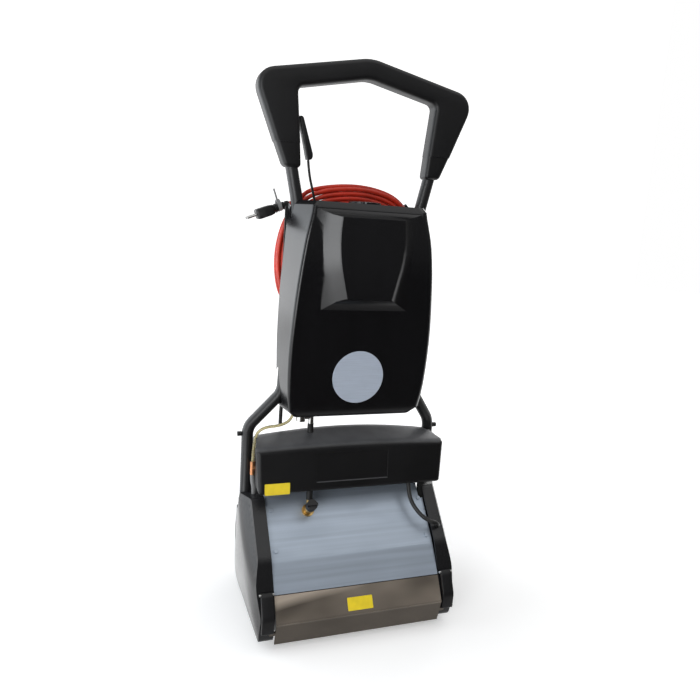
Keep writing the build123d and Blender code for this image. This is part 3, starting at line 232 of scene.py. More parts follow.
def length(name, words, value):
    return FloatProperty(name=name, description=words, default=value, unit="LENGTH")


def colour(name, words, value):
    return FloatVectorProperty(name=name, description=words, subtype="COLOR", size=4, min=0, max=1,
                               default=(*value, 1.0))


class ScrubberSizes(bpy.types.PropertyGroup):
    """Sizes of the finer forms."""

    grip_round: length("Grip rounding", "Rounding of the handle loop's long edges", 0.009)
    tank_round: length("Tank rounding", "Rounding of the tank's front edges", 0.008)
    cover_round: length("Cover rounding", "Rounding of the motor cover's edges", 0.007)
    housing_round: length("Housing rounding", "Rounding of the end housings' outer edges", 0.005)
    sheet_bend: length("Sheet bend", "Tangent length of the bend in the steel hood", 0.006)
    tuft_rows: IntProperty(name="Tuft rows", description="Rows of bristle tufts round a brush", default=12)
    tufts: IntProperty(name="Tufts", description="Tufts in each row", default=38)


class ScrubberColours(bpy.types.PropertyGroup):
    """Base colours, linear."""

    moulding: colour("Moulding", "Satin black mouldings", (0.0045, 0.0044, 0.005))
    tank: colour("Tank", "Gloss black tank", (0.004, 0.004, 0.0048))
    paint: colour("Paint", "Powder coat of tubes and plates", (0.008, 0.008, 0.0085))
    steel: colour("Steel", "Brushed steel sheet", (0.42, 0.48, 0.56))
    # This brown is a painted reflection on the tray's sheet
    stain: colour("Stain", "Brown stain of the tray's sheet", (0.2, 0.17, 0.14))
    # Dust colour, also used for a painted sheen on the mouldings' upper faces
    dust: colour("Dust", "Film of dust on the mouldings' upper faces", (0.1, 0.102, 0.108))
    bright: colour("Bright steel", "Plated fastenings", (0.62, 0.62, 0.61))
    cord: colour("Cord", "Red mains cord", (0.6, 0.034, 0.014))
    rubber: colour("Rubber", "Black rubber", (0.011, 0.011, 0.011))
    bristle: colour("Bristle", "Nylon bristles", (0.045, 0.05, 0.06))
    brass: colour("Brass", "Tap body", (0.68, 0.47, 0.19))
    copper: colour("Copper", "Side fitting", (0.72, 0.33, 0.16))
    plate: colour("Plate", "Blank yellow plates", (0.9, 0.68, 0.022))
    badge: colour("Badge", "Bare badge disc", (0.5, 0.56, 0.66))
    grey: colour("Grey", "Grey hose and clip", (0.22, 0.22, 0.22))
    clear: colour("Clear tube", "Yellowed clear tubing", (0.62, 0.55, 0.3))


def sizes():
    return bpy.context.scene.scrubber_sizes


def shade(tone, gain=1.0):
    """A set colour, made darker or lighter by a gain."""
    value = getattr(bpy.context.scene.scrubber_colours, tone)
    return tuple(min(1.0, v * gain) for v in value[:3]) + (1.0,)


# Shaders, with the tones that wear and dirt bring in

CHIP = (0.16, 0.16, 0.165, 1.0)
SMEAR = (0.37, 0.42, 0.5, 1.0)
JACKET_DUST = (0.13, 0.12, 0.115, 1.0)
CORD_SCUFF = (0.11, 0.012, 0.01, 1.0)
BRISTLE_GRIME = (0.09, 0.085, 0.075, 1.0)
PLATE_SCRATCH = (0.6, 0.5, 0.2, 1.0)
BLACK, WHITE = (0.0, 0.0, 0.0, 1.0), (1.0, 1.0, 1.0, 1.0)


class Wire:
    """A shader socket that takes part in sums."""

    def __init__(self, paint, socket):
        self.paint = paint
        self.socket = socket

    def maths(self, operation, *values):
        return self.paint.node("ShaderNodeMath", {"operation": operation}, dict(enumerate(values)))

    def __add__(self, other):
        return self.maths("ADD", self, other)

    def __sub__(self, other):
        return self.maths("SUBTRACT", self, other)

    def __rsub__(self, other):
        return self.maths("SUBTRACT", other, self)

    def __mul__(self, other):
        return self.maths("MULTIPLY", self, other)

    def larger(self, other):
        return self.maths("MAXIMUM", self, other)

    __radd__, __rmul__ = __add__, __mul__


class Paint:
    """A material in the making: a Principled shader and the nodes that feed it."""

    def __init__(self, name, **constants):
        self.material = bpy.data.materials.new(name)
        self.material.use_nodes = True
        self.tree = self.material.node_tree
        self.shader = self.tree.nodes["Principled BSDF"]
        self.place = self.node("ShaderNodeTexCoord", output="Object")
        sockets = {socket.name.lower().replace(" ", "_"): socket for socket in self.shader.inputs}
        for word, value in constants.items():
            sockets[word].default_value = value

    def node(self, kind, settings=None, inputs=None, output=0):
        made = self.tree.nodes.new(kind)
        for word, value in (settings or {}).items():
            setattr(made, word, value)
        for key, value in (inputs or {}).items():
            self.join(made.inputs[key], value)
        return Wire(self, made.outputs[output])

    def join(self, socket, value):
        if isinstance(value, Wire):
            self.tree.links.new(value.socket, socket)
        else:
            socket.default_value = value

    def feed(self, name, value):
        self.join(self.shader.inputs[name], value)

    def finished(self, base, rough, height, distance, strength=1.0):
        """Feed the colour, the roughness and the bumps, and hand over the material."""
        self.feed("Base Color", base)
        self.feed("Roughness", rough)
        self.feed("Normal", self.node("ShaderNodeBump", inputs={"Height": height, "Distance": distance,
                                                                "Strength": strength}))
        return self.material

    def stretched(self, scale, turn=(0, 0, 0)):
        return self.node("ShaderNodeMapping", inputs={"Vector": self.place, "Scale": scale, "Rotation": turn})

    def noise(self, scale, detail=3.0, stretch=None, turn=(0, 0, 0)):
        place = self.stretched(stretch, turn) if stretch else self.place
        return self.node("ShaderNodeTexNoise", inputs={"Vector": place, "Scale": scale, "Detail": detail})

    def cells(self, scale):
        return self.node("ShaderNodeTexVoronoi", inputs={"Vector": self.place, "Scale": scale})

    def coordinate(self, letter, vector=None):
        """One coordinate of the place, or of another vector."""
        return self.node("ShaderNodeSeparateXYZ", inputs={0: vector or self.place}, output=letter)

    def rays(self, word):
        return self.node("ShaderNodeLightPath", output=f"Is {word} Ray")

    def span(self, value, low, high, to_low=0.0, to_high=1.0):
        return self.node("ShaderNodeMapRange", inputs={"Value": value, "From Min": low, "From Max": high,
                                                       "To Min": to_low, "To Max": to_high})

    def mix(self, share, low, high):
        return self.node("ShaderNodeMix", {"data_type": "RGBA"}, {0: share, 6: low, 7: high}, output=2)

    def mottled(self, tone, mask, low, high, first, second):
        """A set colour that goes from one gain to another where a mask goes through a span."""
        return self.mix(self.span(mask, low, high), shade(tone, first), shade(tone, second))

    def normal(self):
        return self.node("ShaderNodeNewGeometry", output="Normal")

    def edges(self, radius):
        """A mask of edges, where the normal turns within a radius: worn edges and chips, and painted edge highlights.
        """
        soft = self.node("ShaderNodeBevel", {"samples": 4}, {"Radius": radius})
        same = self.node("ShaderNodeVectorMath", {"operation": "DOT_PRODUCT"}, {0: self.normal(), 1: soft},
                         output="Value")
        return self.span(1.0 - same, 0.02, 0.2)


def moulded(name, rough, grain, dust=0.0):
    """Moulded black plastic: fine grain, hand-rubbed patches, paler edges that are wear and a painted edge highlight,
    and dust with a painted sheen where it faces up.
    """
    paint = Paint(name, specular_ior_level=0.42)
    patches = paint.noise(9.0, 4.0)
    specks = paint.noise(420.0, 2.0)
    # Paler edges in patches: edge wear and a painted edge highlight
    edge = paint.edges(0.0025) * paint.span(paint.noise(60.0), 0.35, 0.7)
    base = paint.mottled("moulding", patches, 0.35, 0.7, 1.0, 1.5)
    # Faces that point up are lightened towards the dust colour: real dust and a painted sheen of light from above
    if dust:
        level = paint.span(paint.coordinate("Z", paint.normal()), 0.45, 0.9)
        film = level * paint.span(paint.noise(26.0, 5.0), 0.25, 0.6, 0.7, 1.0)
        base = paint.mix(film * dust, base, shade("dust"))
    return paint.finished(paint.mix(edge * 0.6, base, shade("moulding", 3.52)),
                          rough + 0.14 * patches + 0.05 * specks - 0.05,
                          paint.noise(grain, 2.0) + 0.4 * paint.noise(grain / 6, 2.0), 0.00012)


def black_moulding():
    return moulded("Black moulding", 0.34, 1500.0)


def cover_moulding():
    # The cover's upper faces take the most dust and painted sheen
    return moulded("Cover moulding", 0.36, 1500.0, dust=0.85)


def housing_moulding():
    # The housings' upper faces take a little dust and painted sheen
    return moulded("Housing moulding", 0.2, 1500.0, dust=0.2)


def grip_moulding():
    return moulded("Grip moulding", 0.42, 900.0)


def drum_plastic():
    return moulded("Drum plastic", 0.4, 800.0)


def tank_moulding():
    """Gloss blow-moulded tank: slow waves in the skin, faint flow marks, fine rub marks and a painted highlight along
    its edges.
    """
    paint = Paint("Tank moulding", specular_ior_level=0.45)
    waves = paint.noise(11.0, 2.0)
    flow = paint.noise(26.0, 4.0, stretch=(1.0, 1.0, 0.2))
    rubs = paint.span(paint.noise(520.0, 3.0, stretch=(1.0, 1.0, 0.06)), 0.6, 0.8)
    base = paint.mottled("tank", flow, 0.35, 0.75, 1.0, 1.25)
    # Paler edges: a painted highlight along the tank's edges
    return paint.finished(paint.mix(paint.edges(0.003) * 0.3, base, shade("tank", 2.6)),
                          0.2 + 0.05 * flow + 0.05 * rubs, waves + 0.02 * rubs, 0.0005, 0.35)


def powder_coat(name, gain=1.0):
    """Baked paint: orange-peel bumps, paler patches and chips at the edges."""
    paint = Paint(name, specular_ior_level=0.5)
    patches = paint.noise(16.0, 3.0)
    chips = paint.edges(0.0015) * paint.span(paint.noise(240.0, 4.0), 0.56, 0.66)
    base = paint.mottled("paint", patches, 0.3, 0.7, gain, gain * 1.6)
    paint.feed("Metallic", chips * 0.5)
    return paint.finished(paint.mix(chips * 0.7, base, CHIP), 0.3 + 0.16 * patches,
                          paint.cells(650.0), 0.00008, 0.6)


def black_paint():
    return powder_coat("Black paint")


def frame_paint():
    return powder_coat("Frame paint", 2.2)


def brushed_sheet():
    """Rolled steel sheet: brush lines along X, smears and faint wipe marks."""
    paint = Paint("Brushed sheet", metallic=0.7)
    lines, broad = (paint.noise(scale, 3.0, stretch=(0.02, 1.0, 1.0)) for scale in (900.0, 90.0))
    smears = paint.span(paint.noise(6.0, 4.0), 0.5, 0.8)
    wipes = paint.span(paint.noise(20.0, 3.0, stretch=(0.5, 1.6, 1.6)), 0.45, 0.75)
    base = paint.mottled("steel", broad, 0.35, 0.65, 0.9, 1.06)
    return paint.finished(paint.mix(smears * 0.45, base, SMEAR), 0.34 + 0.1 * lines + 0.12 * wipes,
                          lines + 0.3 * broad, 0.00004, 0.6)


def tray_sheet():
    """The tray's polished sheet with painted reflections, cream at its upper left and brown in broad stripes, and
    painted shade darkening its folded bottom edge.
    """
    paint = Paint("Tray sheet", metallic=0.65)
    lines = paint.noise(900.0, 3.0, stretch=(0.015, 1.0, 1.0))
    # Broad stripes of a painted brown reflection
    bands = paint.noise(2.4, 2.0, stretch=(2.2, 0.4, 5.0), turn=(0.0, 0.5, 0.0))
    across, height = (paint.coordinate(letter) for letter in "XZ")
    # A painted cream reflection at the upper left
    clean = paint.span(50.0 * height - 6.5 * across + 0.6 * bands, 5.55, 6.25)
    # Painted shade along the folded bottom edge, which is also a little rougher
    lip = paint.span(height, 0.066, 0.058)
    base = paint.mottled("stain", bands, 0.36, 0.62, 0.8, 2.0)
    base = paint.mix(clean, base, shade("stain", 3.9))
    return paint.finished(paint.mix(lip * 0.85, base, shade("stain", 0.42)),
                          0.14 + 0.08 * lines + 0.12 * lip + 0.06 * bands, lines, 0.00003, 0.6)


def plated(name, tone, rough, dull):
    """Plated or cast metal with tarnish in patches and fine turning marks."""
    paint = Paint(name, metallic=1.0)
    tarnish = paint.span(paint.noise(70.0, 5.0), 0.45, 0.75)
    marks = paint.noise(1200.0, 2.0, stretch=(0.2, 1.0, 1.0))
    return paint.finished(paint.mix(tarnish * 0.8, shade(tone), shade(tone, dull)),
                          rough + 0.18 * tarnish + 0.06 * marks, marks, 0.00003)


def bright_steel():
    return plated("Bright steel", "bright", 0.24, 0.62)


def valve_chrome():
    return plated("Valve chrome", "bright", 0.1, 0.8)


def pulley_alloy():
    return plated("Pulley alloy", "bright", 0.34, 0.7)


def tap_brass():
    return plated("Tap brass", "brass", 0.24, 0.55)


def copper_fitting():
    return plated("Copper fitting", "copper", 0.26, 0.5)


def badge_alloy():
    """The bare badge: satin metal with fine lines one way and a few handling marks."""
    paint = Paint("Badge alloy", metallic=0.25, specular_ior_level=0.4)
    lines = paint.noise(1100.0, 3.0, stretch=(0.02, 1.0, 1.0))
    cloud = paint.noise(34.0, 4.0)
    base = paint.mottled("badge", lines, 0.3, 0.7, 0.93, 1.07)
    return paint.finished(paint.mix(paint.span(cloud, 0.5, 0.8) * 0.3, base, shade("badge", 0.82)),
                          0.36 + 0.16 * cloud, lines, 0.00003)


def rubbery(name, tone, rough, grain, gain=1.0):
    """Rubber or cord jacket: matt, a little dusty, with a fine pebbled skin."""
    paint = Paint(name, specular_ior_level=0.4)
    dust = paint.span(paint.noise(45.0, 5.0), 0.5, 0.8)
    base = paint.mix(paint.noise(8.0), shade(tone, 0.85 * gain), shade(tone, 1.15 * gain))
    return paint.finished(paint.mix(dust * 0.22, base, JACKET_DUST), rough + 0.2 * dust,
                          paint.cells(grain), 0.00012, 0.5)


def soft_rubber():
    return rubbery("Soft rubber", "rubber", 0.55, 900.0)


def wheel_tyre():
    return rubbery("Wheel tyre", "rubber", 0.6, 500.0, 1.6)


def black_lead():
    return rubbery("Black lead", "rubber", 0.42, 1400.0)


def grey_hose():
    return rubbery("Grey hose", "grey", 0.45, 1100.0)


def red_cord():
    """Red mains cord: a slightly glossy jacket with scuffs and dark handling marks."""
    paint = Paint("Red cord", specular_ior_level=0.45)
    scuff = paint.span(paint.noise(120.0, 5.0), 0.55, 0.75)
    base = paint.mottled("cord", paint.noise(18.0, 3.0), 0.3, 0.7, 0.72, 1.1)
    return paint.finished(paint.mix(scuff * 0.3, base, CORD_SCUFF), 0.34 + 0.22 * scuff,
                          paint.noise(1600.0, 2.0), 0.0001, 0.5)


def clear_tube():
    """Yellowed clear vinyl tube."""
    paint = Paint("Clear tube", transmission_weight=0.55, ior=1.45, specular_ior_level=0.5)
    stain = paint.noise(60.0, 4.0)
    return paint.finished(paint.mottled("clear", stain, 0.35, 0.7, 1.15, 0.7), 0.16 + 0.2 * stain,
                          paint.noise(900.0), 0.00005)


def bristle():
    """Nylon bristles, mottled from strand to strand, with grime in patches."""
    paint = Paint("Bristle", specular_ior_level=0.4)
    strand = paint.noise(700.0, 2.0)
    grime = paint.span(paint.noise(30.0, 4.0), 0.4, 0.75)
    base = paint.mottled("bristle", strand, 0.3, 0.7, 0.6, 1.6)
    return paint.finished(paint.mix(grime * 0.4, base, BRISTLE_GRIME), 0.5 + 0.2 * grime, strand, 0.0003)


def blank_plate():
    """A blank yellow plate: a film over metal, a little faded and scratched."""
    paint = Paint("Blank plate", specular_ior_level=0.5, coat_weight=0.25, coat_roughness=0.15)
    fade = paint.noise(55.0, 4.0)
    scratch = paint.span(paint.noise(900.0, 3.0, stretch=(0.06, 1.0, 1.0)), 0.62, 0.74)
    base = paint.mottled("plate", fade, 0.35, 0.7, 1.0, 0.88)
    return paint.finished(paint.mix(scratch * 0.12, base, PLATE_SCRATCH), 0.32 + 0.2 * fade, scratch, 0.00003)


@functools.cache
def paint_for(slot):
    """The material of a record slot, or another one above by its function's name, made once."""
    return globals()[slot]()


# Mesh making

def along_axis(axis, u, v, w):
    """A place from two outline coordinates and a level along an axis."""
    return {"X": mm(w, u, v), "Y": mm(u, w, v), "Z": mm(u, v, w)}[axis]


def closed(bm):
    """Turn a mesh's faces outwards."""
    bmesh.ops.recalc_face_normals(bm, faces=bm.faces)
    return bm


def soften(bm, geom, radius, segments, affect="EDGES"):
    """Round some edges of a mesh, or some corners of a flat face."""
    bmesh.ops.bevel(bm, geom=list(geom), offset=radius, offset_type="OFFSET", segments=segments,
                    profile=0.5, affect=affect, clamp_overlap=affect == "EDGES", material=-1)


def sharp_edges(bm, degrees=30.0):
    limit = math.radians(degrees)
    return [e for e in bm.edges if len(e.link_faces) == 2 and e.calc_face_angle(0) > limit]


def lift(bm, face, shift):
    """Extrude a face by a shift and return the new face."""
    made = bmesh.ops.extrude_face_region(bm, geom=[face])["geom"]
    if any(len(edge.link_faces) > 2 for edge in face.edges):
        bm.faces.remove(face)
    bmesh.ops.translate(bm, verts=[v for v in made if isinstance(v, bmesh.types.BMVert)], vec=shift)
    return next(f for f in made if isinstance(f, bmesh.types.BMFace))


def prism(points, axis, low, high):
    """A closed prism between two levels over (u, v) points; a third number is a corner's tangent length."""
    bm = bmesh.new()
    verts = [bm.verts.new(along_axis(axis, u, v, low)) for u, v, *_ in points]
    bm.faces.new(verts)
    for vert, (_, _, *tangent) in zip(verts, points):
        if any(tangent):
            soften(bm, [vert], tangent[0] / 1000, 8, "VERTICES")
    lift(bm, bm.faces[:][0], along_axis(axis, 0, 0, high) - along_axis(axis, 0, 0, low))
    return closed(bm)


def loft(rows, foot=True):
    """A mesh from ring to ring of places, closed at its last ring and, where asked, at its foot."""
    bm = bmesh.new()
    rings = [[bm.verts.new(place) for place in row] for row in rows]
    for below, above in zip(rings, rings[1:]):
        for i in range(len(below)):
            bm.faces.new((below[i - 1], below[i], above[i], above[i - 1]))
    bm.faces.new(rings[-1])
    if foot:
        bm.faces.new(rings[0])
    return closed(bm)


def spun(places, centre, axis, steps):
    """A full turn of a line of places about an axis."""
    bm = bmesh.new()
    verts = [bm.verts.new(place) for place in places]
    edges = [bm.edges.new(pair) for pair in zip(verts, verts[1:])]
    bmesh.ops.spin(bm, geom=verts + edges, cent=centre, axis=axis, angle=math.tau, steps=steps,
                   use_merge=True)
    return bm


def lathe(profile, axis_place, steps):
    """A full turn of (along X, radius) points about an axis parallel to X, given as (y, z)."""
    y, z = axis_place
    bm = spun([mm(x, y, z + r) for x, r in profile], mm(0, y, z), (1, 0, 0), steps)
    bmesh.ops.remove_doubles(bm, verts=bm.verts, dist=1e-6)
    return closed(bm)


def both_ends(middle, half, points):
    """A profile along X, alike at both ends, from (distance from its end, radius) points."""
    left = [(middle - half + reach, r) for reach, r in points]
    return left + [(middle + half - reach, r) for reach, r in reversed(points)]


def to_mesh(name, bm):
    mesh = bpy.data.meshes.new(name)
    bm.to_mesh(mesh)
    bm.free()
    return mesh


def join_into(bm, other):
    """Add another bmesh's faces to this one."""
    mesh = to_mesh("part", other)
    bm.from_mesh(mesh)
    bpy.data.meshes.remove(mesh)


# Pieces

def linked(name, data):
    """A new object in the scene."""
    made = bpy.data.objects.new(name, data)
    bpy.context.scene.collection.objects.link(made)
    return made


def from_mesh(name, mesh, material, smooth=35.0):
    """A smooth object in one material, sharp where its faces turn by more than an angle."""
    mesh.shade_smooth()
    mesh.set_sharp_from_angle(angle=math.radians(smooth))
    mesh.materials.clear()
    mesh.materials.append(material)
    return linked(name, mesh)


def to_object(name, bm, material, smooth=35.0):
    return from_mesh(name, to_mesh(name, bm), material, smooth)


def settle(piece, *nodes, body=None, slot=None):
    """Let a piece stand for CAD nodes, ride on their body and take their slot."""
    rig.ride(piece, body or BODY_OF[nodes[0]])
    if nodes:
        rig.replaces(piece, *nodes)
    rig.slot(piece, slot or SLOT_OF[nodes[0]])
    return piece


def stand_in(name, node, bm, smooth=35.0):
    """A new piece in a CAD node's place, in the material of its slot."""
    return settle(to_object(name, bm, paint_for(SLOT_OF[node]), smooth), node)


def apply_modifiers(piece):
    shape = bpy.context.evaluated_depsgraph_get()
    piece.data, old = bpy.data.meshes.new_from_object(piece.evaluated_get(shape)), piece.data
    piece.modifiers.clear()
    bpy.data.meshes.remove(old)


def carved(piece, operation, *cutters):
    """Apply exact boolean operations to a piece and remove the cutters."""
    for bm in cutters:
        cutter = to_object("cutter", bm, piece.data.materials[0])
        change = piece.modifiers.new("carve", "BOOLEAN")
        change.operation, change.solver, change.object = operation, "EXACT", cutter
        apply_modifiers(piece)
        bpy.data.objects.remove(cutter)


def rounded(piece, width, segments, degrees=30.0):
    """Round a piece's sharp edges with a live bevel and even out its normals."""
    bevel = piece.modifiers.new("round", "BEVEL")
    bevel.width, bevel.segments = width, segments
    bevel.limit_method, bevel.angle_limit = "ANGLE", math.radians(degrees)
    bevel.use_clamp_overlap = True
    bevel.miter_outer = "MITER_ARC"
    normals = piece.modifiers.new("normals", "WEIGHTED_NORMAL")
    normals.keep_sharp = True
    piece.data.shade_smooth()


def dressed(node, width=0.0, material=None):
    """A merged copy of a CAD node, its edges rounded where a width is given, standing for it."""
    bm = bmesh.new()
    bm.from_mesh(frame["nodes"][node].data)
    bmesh.ops.remove_doubles(bm, verts=bm.verts, dist=2e-6)
    if width:
        bmesh.ops.dissolve_limit(bm, angle_limit=math.radians(1.0), verts=bm.verts, edges=bm.edges)
    piece = to_object(f"{node}_skin", bm, material or paint_for(SLOT_OF[node]))
    if width:
        rounded(piece, width, 2)
    return settle(piece, node)


def painted(*nodes):
    """Give CAD nodes that keep their own shape the material of their slot."""
    for node in nodes:
        data = frame["nodes"][node].data
        data.materials.clear()
        data.materials.append(paint_for(SLOT_OF[node]))


# Handle

GRIP_PEAK, GRIP_HOLLOW = (0, 1130, 17), (0, 1091, 13)
GRIP_CORNER, GRIP_INSIDE = (229, 1083), (141, 1061)
GRIP_CORNER_TANGENT, GRIP_INSIDE_TANGENT = 42, 11
LEG_OUT, LEG_IN = (165, 922), (128, 922)
GRIP_DEEP, GRIP_STEP_Z = 19.0, 962.0
SLEEVE = ((181.6, 967), (161.0, 917), (128.7, 917), (132.7, 967))
SLEEVE_DEEP, SLEEVE_ROUND, SLEEVE_RIM_Z = 17.6, 0.0075, 0.96
TRIGGER = ((-135, 1012, 3), (-127, 1012, 4), (-104, 942, 5), (-107, 934, 3), (-116, 934, 2))
TRIGGER_DEEP, TRIGGER_ROUND = 9.0, 0.0022


def grip_outline():
    """The handle loop's outline, cut off where its sleeves begin."""

    def at_step(low, high):
        return share_of(low, high, (GRIP_STEP_Z - low[1]) / (high[1] - low[1]))[0]

    right = [(*GRIP_CORNER, GRIP_CORNER_TANGENT), (at_step(LEG_OUT, GRIP_CORNER), GRIP_STEP_Z, 0),
             (at_step(LEG_IN, GRIP_INSIDE), GRIP_STEP_Z, 0), (*GRIP_INSIDE, GRIP_INSIDE_TANGENT)]
    left = [(-x, z, r) for x, z, r in right[::-1]]
    return [GRIP_PEAK] + right + [GRIP_HOLLOW] + left


def sleeve(side):
    """The lower end of a handle leg, a step narrower than the loop."""
    bm = prism([(side * x, z) for x, z in SLEEVE], "Y", -SLEEVE_DEEP, SLEEVE_DEEP)
    rims = [e for e in sharp_edges(bm) if min(v.co.z for v in e.verts) < SLEEVE_RIM_Z]
    soften(bm, rims, SLEEVE_ROUND, 5)
    return bm


def grip_mesh():
    """The handle loop, rounded along both faces down to its step, and its sleeves."""
    bm = prism(grip_outline(), "Y", -GRIP_DEEP, GRIP_DEEP)
    rims = [e for e in sharp_edges(bm, math.degrees(1.0)) if abs(e.verts[0].co.y - e.verts[1].co.y) < 1e-6
            and max(v.co.z for v in e.verts) > GRIP_STEP_Z / 1000 + 1e-5]
    soften(bm, rims, sizes().grip_round, 5)
    for _, side in SIDES:
        join_into(bm, sleeve(side))
    return bm


def trigger_mesh():
    """The trigger's blade inside the left leg."""
    bm = prism(TRIGGER, "Y", -TRIGGER_DEEP, TRIGGER_DEEP)
    soften(bm, sharp_edges(bm, 50), TRIGGER_ROUND, 3)
    return bm


class SCRUBBER_OT_handle(bpy.types.Operator):
    """Build the handle loop, trigger, switch and tubes"""

    bl_idname = "scrubber.handle"
    bl_label = "Handle"

    def execute(self, context):
        stand_in("handle_loop", "handle_grip", grip_mesh(), 40)
        stand_in("trigger_blade", "trigger_lever", trigger_mesh(), 40)
        dressed("power_switch", 0.001)
        for node in ("left_tube", "right_tube"):
            dressed(node)
        for node in ("yoke_bolts", "pivot_bushes", "pivot_pins"):
            dressed(node, 0.0008)
        return {"FINISHED"}


# Tank: its sections are height, half width at the back and at the front, and the front's Y

TANK_SECTIONS = (
    (436, 132, 126, -42), (450, 148, 140, -52), (560, 157, 148, -64), (680, 156, 142, -73),
    (780, 150, 130, -77), (838, 147, 117, -71), (850, 146, 115, -69), (858, 141, 109, -63),
)
TANK_BACK_Y, TANK_TALL, TANK_BETWEEN = 12.0, 50.0, 3
TANK_LEFT_SHARE, TANK_RIGHT_SHARE, TANK_BACK_ROUND = 0.8, 1.7, 0.005
SHIELD, SHIELD_X = ((62.0, 831.0), (67.0, 772.0), (45.0, 680.0)), -4.0
SHIELD_TANGENT, SHIELD_STEPS, SHIELD_RISE, SHIELD_FALL = 48.0, 8, 0.3, 0.55
SHIELD_ROWS = ((-95.0, 0.0, 0.0), (-92.0, 1.5, 4.0), (-84.0, 12.0, 18.0), (-78.0, 26.0, 29.0),
               (-72.0, 44.0, 44.0), (-56.0, 44.0, 44.0))
CHANNEL_R, CHANNEL_Y, CHANNEL_STEPS = 13.5, 40.0, 10
CHANNEL_ROWS = ((425, 184), (478, 143), (850, 129), (900, 140))
BADGE_AT, BADGE_SHIFT, BADGE_WIDER = (0, -61, 528), (-0.005, 0.0008, -0.0075), 1.05
CAP_Y, CAP_Z, CAP_R, CAP_RIB, CAP_STEPS = -24.0, 858.3, 32.0, 1.0, 96
CAP_BAR, CAP_BAR_Z = ((-17, -28, 3), (17, -28, 3), (17, -20, 3), (-17, -20, 3)), (859, 862.2)


def tank_levels():
    """The tank's sections, with smooth ones added where two of them stand far apart."""
    levels = [TANK_SECTIONS[0]]
    for i in range(1, len(TANK_SECTIONS) - 1):
        a, b = TANK_SECTIONS[i], TANK_SECTIONS[i + 1]
        levels.append(a)
        if b[0] - a[0] < TANK_TALL:
            continue
        before, after = TANK_SECTIONS[i - 1], TANK_SECTIONS[min(i + 2, len(TANK_SECTIONS) - 1)]
        for step in range(1, TANK_BETWEEN + 1):
            t = step / (TANK_BETWEEN + 1)
            row = [a[0] + (b[0] - a[0]) * t]
            for j in (1, 2, 3):
                ta = (b[j] - before[j]) / (b[0] - before[0]) * (b[0] - a[0])
                tb = (after[j] - a[j]) / (after[0] - a[0]) * (b[0] - a[0])
                row.append((2 * t**3 - 3 * t**2 + 1) * a[j] + (t**3 - 2 * t**2 + t) * ta
                           + (3 * t**2 - 2 * t**3) * b[j] + (t**3 - t**2) * tb)
            levels.append(tuple(row))
    return levels + [TANK_SECTIONS[-1]]


def upright(edge, front):
    """Whether an edge runs up the tank at its front or at its back."""
    a, b = edge.verts[0].co, edge.verts[1].co
    at_back = min(a.y, b.y) > mm(0, TANK_BACK_Y - 1, 0).y
    return abs(a.z - b.z) > 0.004 and at_back != front


def tank_body():
    """The tank without its shield, its upright edges rounded, the front's more to the right."""
    bm = loft([[mm(-back, TANK_BACK_Y, z), mm(back, TANK_BACK_Y, z), mm(front, y, z), mm(-front, y, z)]
               for z, back, front, y in tank_levels()])
    for side, share in ((-1, TANK_LEFT_SHARE), (1, TANK_RIGHT_SHARE)):
        front = [e for e in bm.edges if upright(e, True) and e.verts[0].co.x * side > 0]
        soften(bm, front, sizes().tank_round * share, 6)
    back = [e for e in bm.edges if upright(e, False) and e.calc_face_angle(0) > 0.5]
    soften(bm, back, TANK_BACK_ROUND, 3)
    return bm


def shield_side():
    """One side of the shield from the top, its middle corner rounded: X, Z and share of the flank's rise."""
    top, middle, foot = (Vector(corner) for corner in SHIELD)
    first, last = (middle + (end - middle).normalized() * SHIELD_TANGENT for end in (top, foot))
    shares = [i / SHIELD_STEPS for i in range(SHIELD_STEPS + 1)]
    points = [top] + [first.lerp(middle, t).lerp(middle.lerp(last, t), t) for t in shares] + [foot]

    def rise(z):
        if z > middle.y:
            return SHIELD_RISE * (z - middle.y) / (top.y - middle.y)
        return -SHIELD_FALL * (middle.y - z) / (middle.y - foot.y)

    return [(p.x, p.y, rise(p.y)) for p in points]


def shield_mesh():
    """The raised shield: a flat face on flanks that sweep out to the tank's front."""
    edge = shield_side()

    def ring(y, right, left):
        corners = [(x + right, z + right * up) for x, z, up in edge]
        corners += [(-x - left, z + right * up) for x, z, up in edge[::-1]]
        return [mm(x + SHIELD_X, y, z) for x, z in corners]

    return loft([ring(*row) for row in SHIELD_ROWS])


def tube_channel(side):
    """The room for a handle tube in the tank's back."""
    turns = [math.pi * i / CHANNEL_STEPS for i in range(CHANNEL_STEPS + 1)]
    plan = [(CHANNEL_R * math.cos(a), -CHANNEL_R * math.sin(a)) for a in turns]
    plan = [(CHANNEL_R, CHANNEL_Y)] + plan + [(-CHANNEL_R, CHANNEL_Y)]
    return loft([[mm(side * (middle + x), y, z) for x, y in plan] for z, middle in CHANNEL_ROWS])


def badge_fit():
    """Sets the badge a little lower and wider on the tank's sloping front."""
    middle = mm(*BADGE_AT)
    wider = Matrix.Diagonal((BADGE_WIDER, 1.0, BADGE_WIDER, 1.0))
    return Matrix.Translation(middle + Vector(BADGE_SHIFT)) @ wider @ Matrix.Translation(-middle)


def ribbed_cap():
    """The filler cap: a ribbed rim round a dished top with a bar."""
    bm = bmesh.new()
    ring = []
    for i in range(CAP_STEPS):
        a = math.tau * i / CAP_STEPS
        r = CAP_R if i % 4 < 2 else CAP_R - CAP_RIB
        ring.append(bm.verts.new(mm(r * math.cos(a), CAP_Y + r * math.sin(a), CAP_Z)))
    face = lift(bm, bm.faces.new(ring), (0, 0, 0.0034))
    for thickness, depth in ((0.003, 0.0006), (0.006, 0), (0.0015, -0.0016)):
        bmesh.ops.inset_region(bm, faces=[face], thickness=thickness, depth=depth)
    join_into(bm, prism(CAP_BAR, "Z", *CAP_BAR_Z))
    return closed(bm)


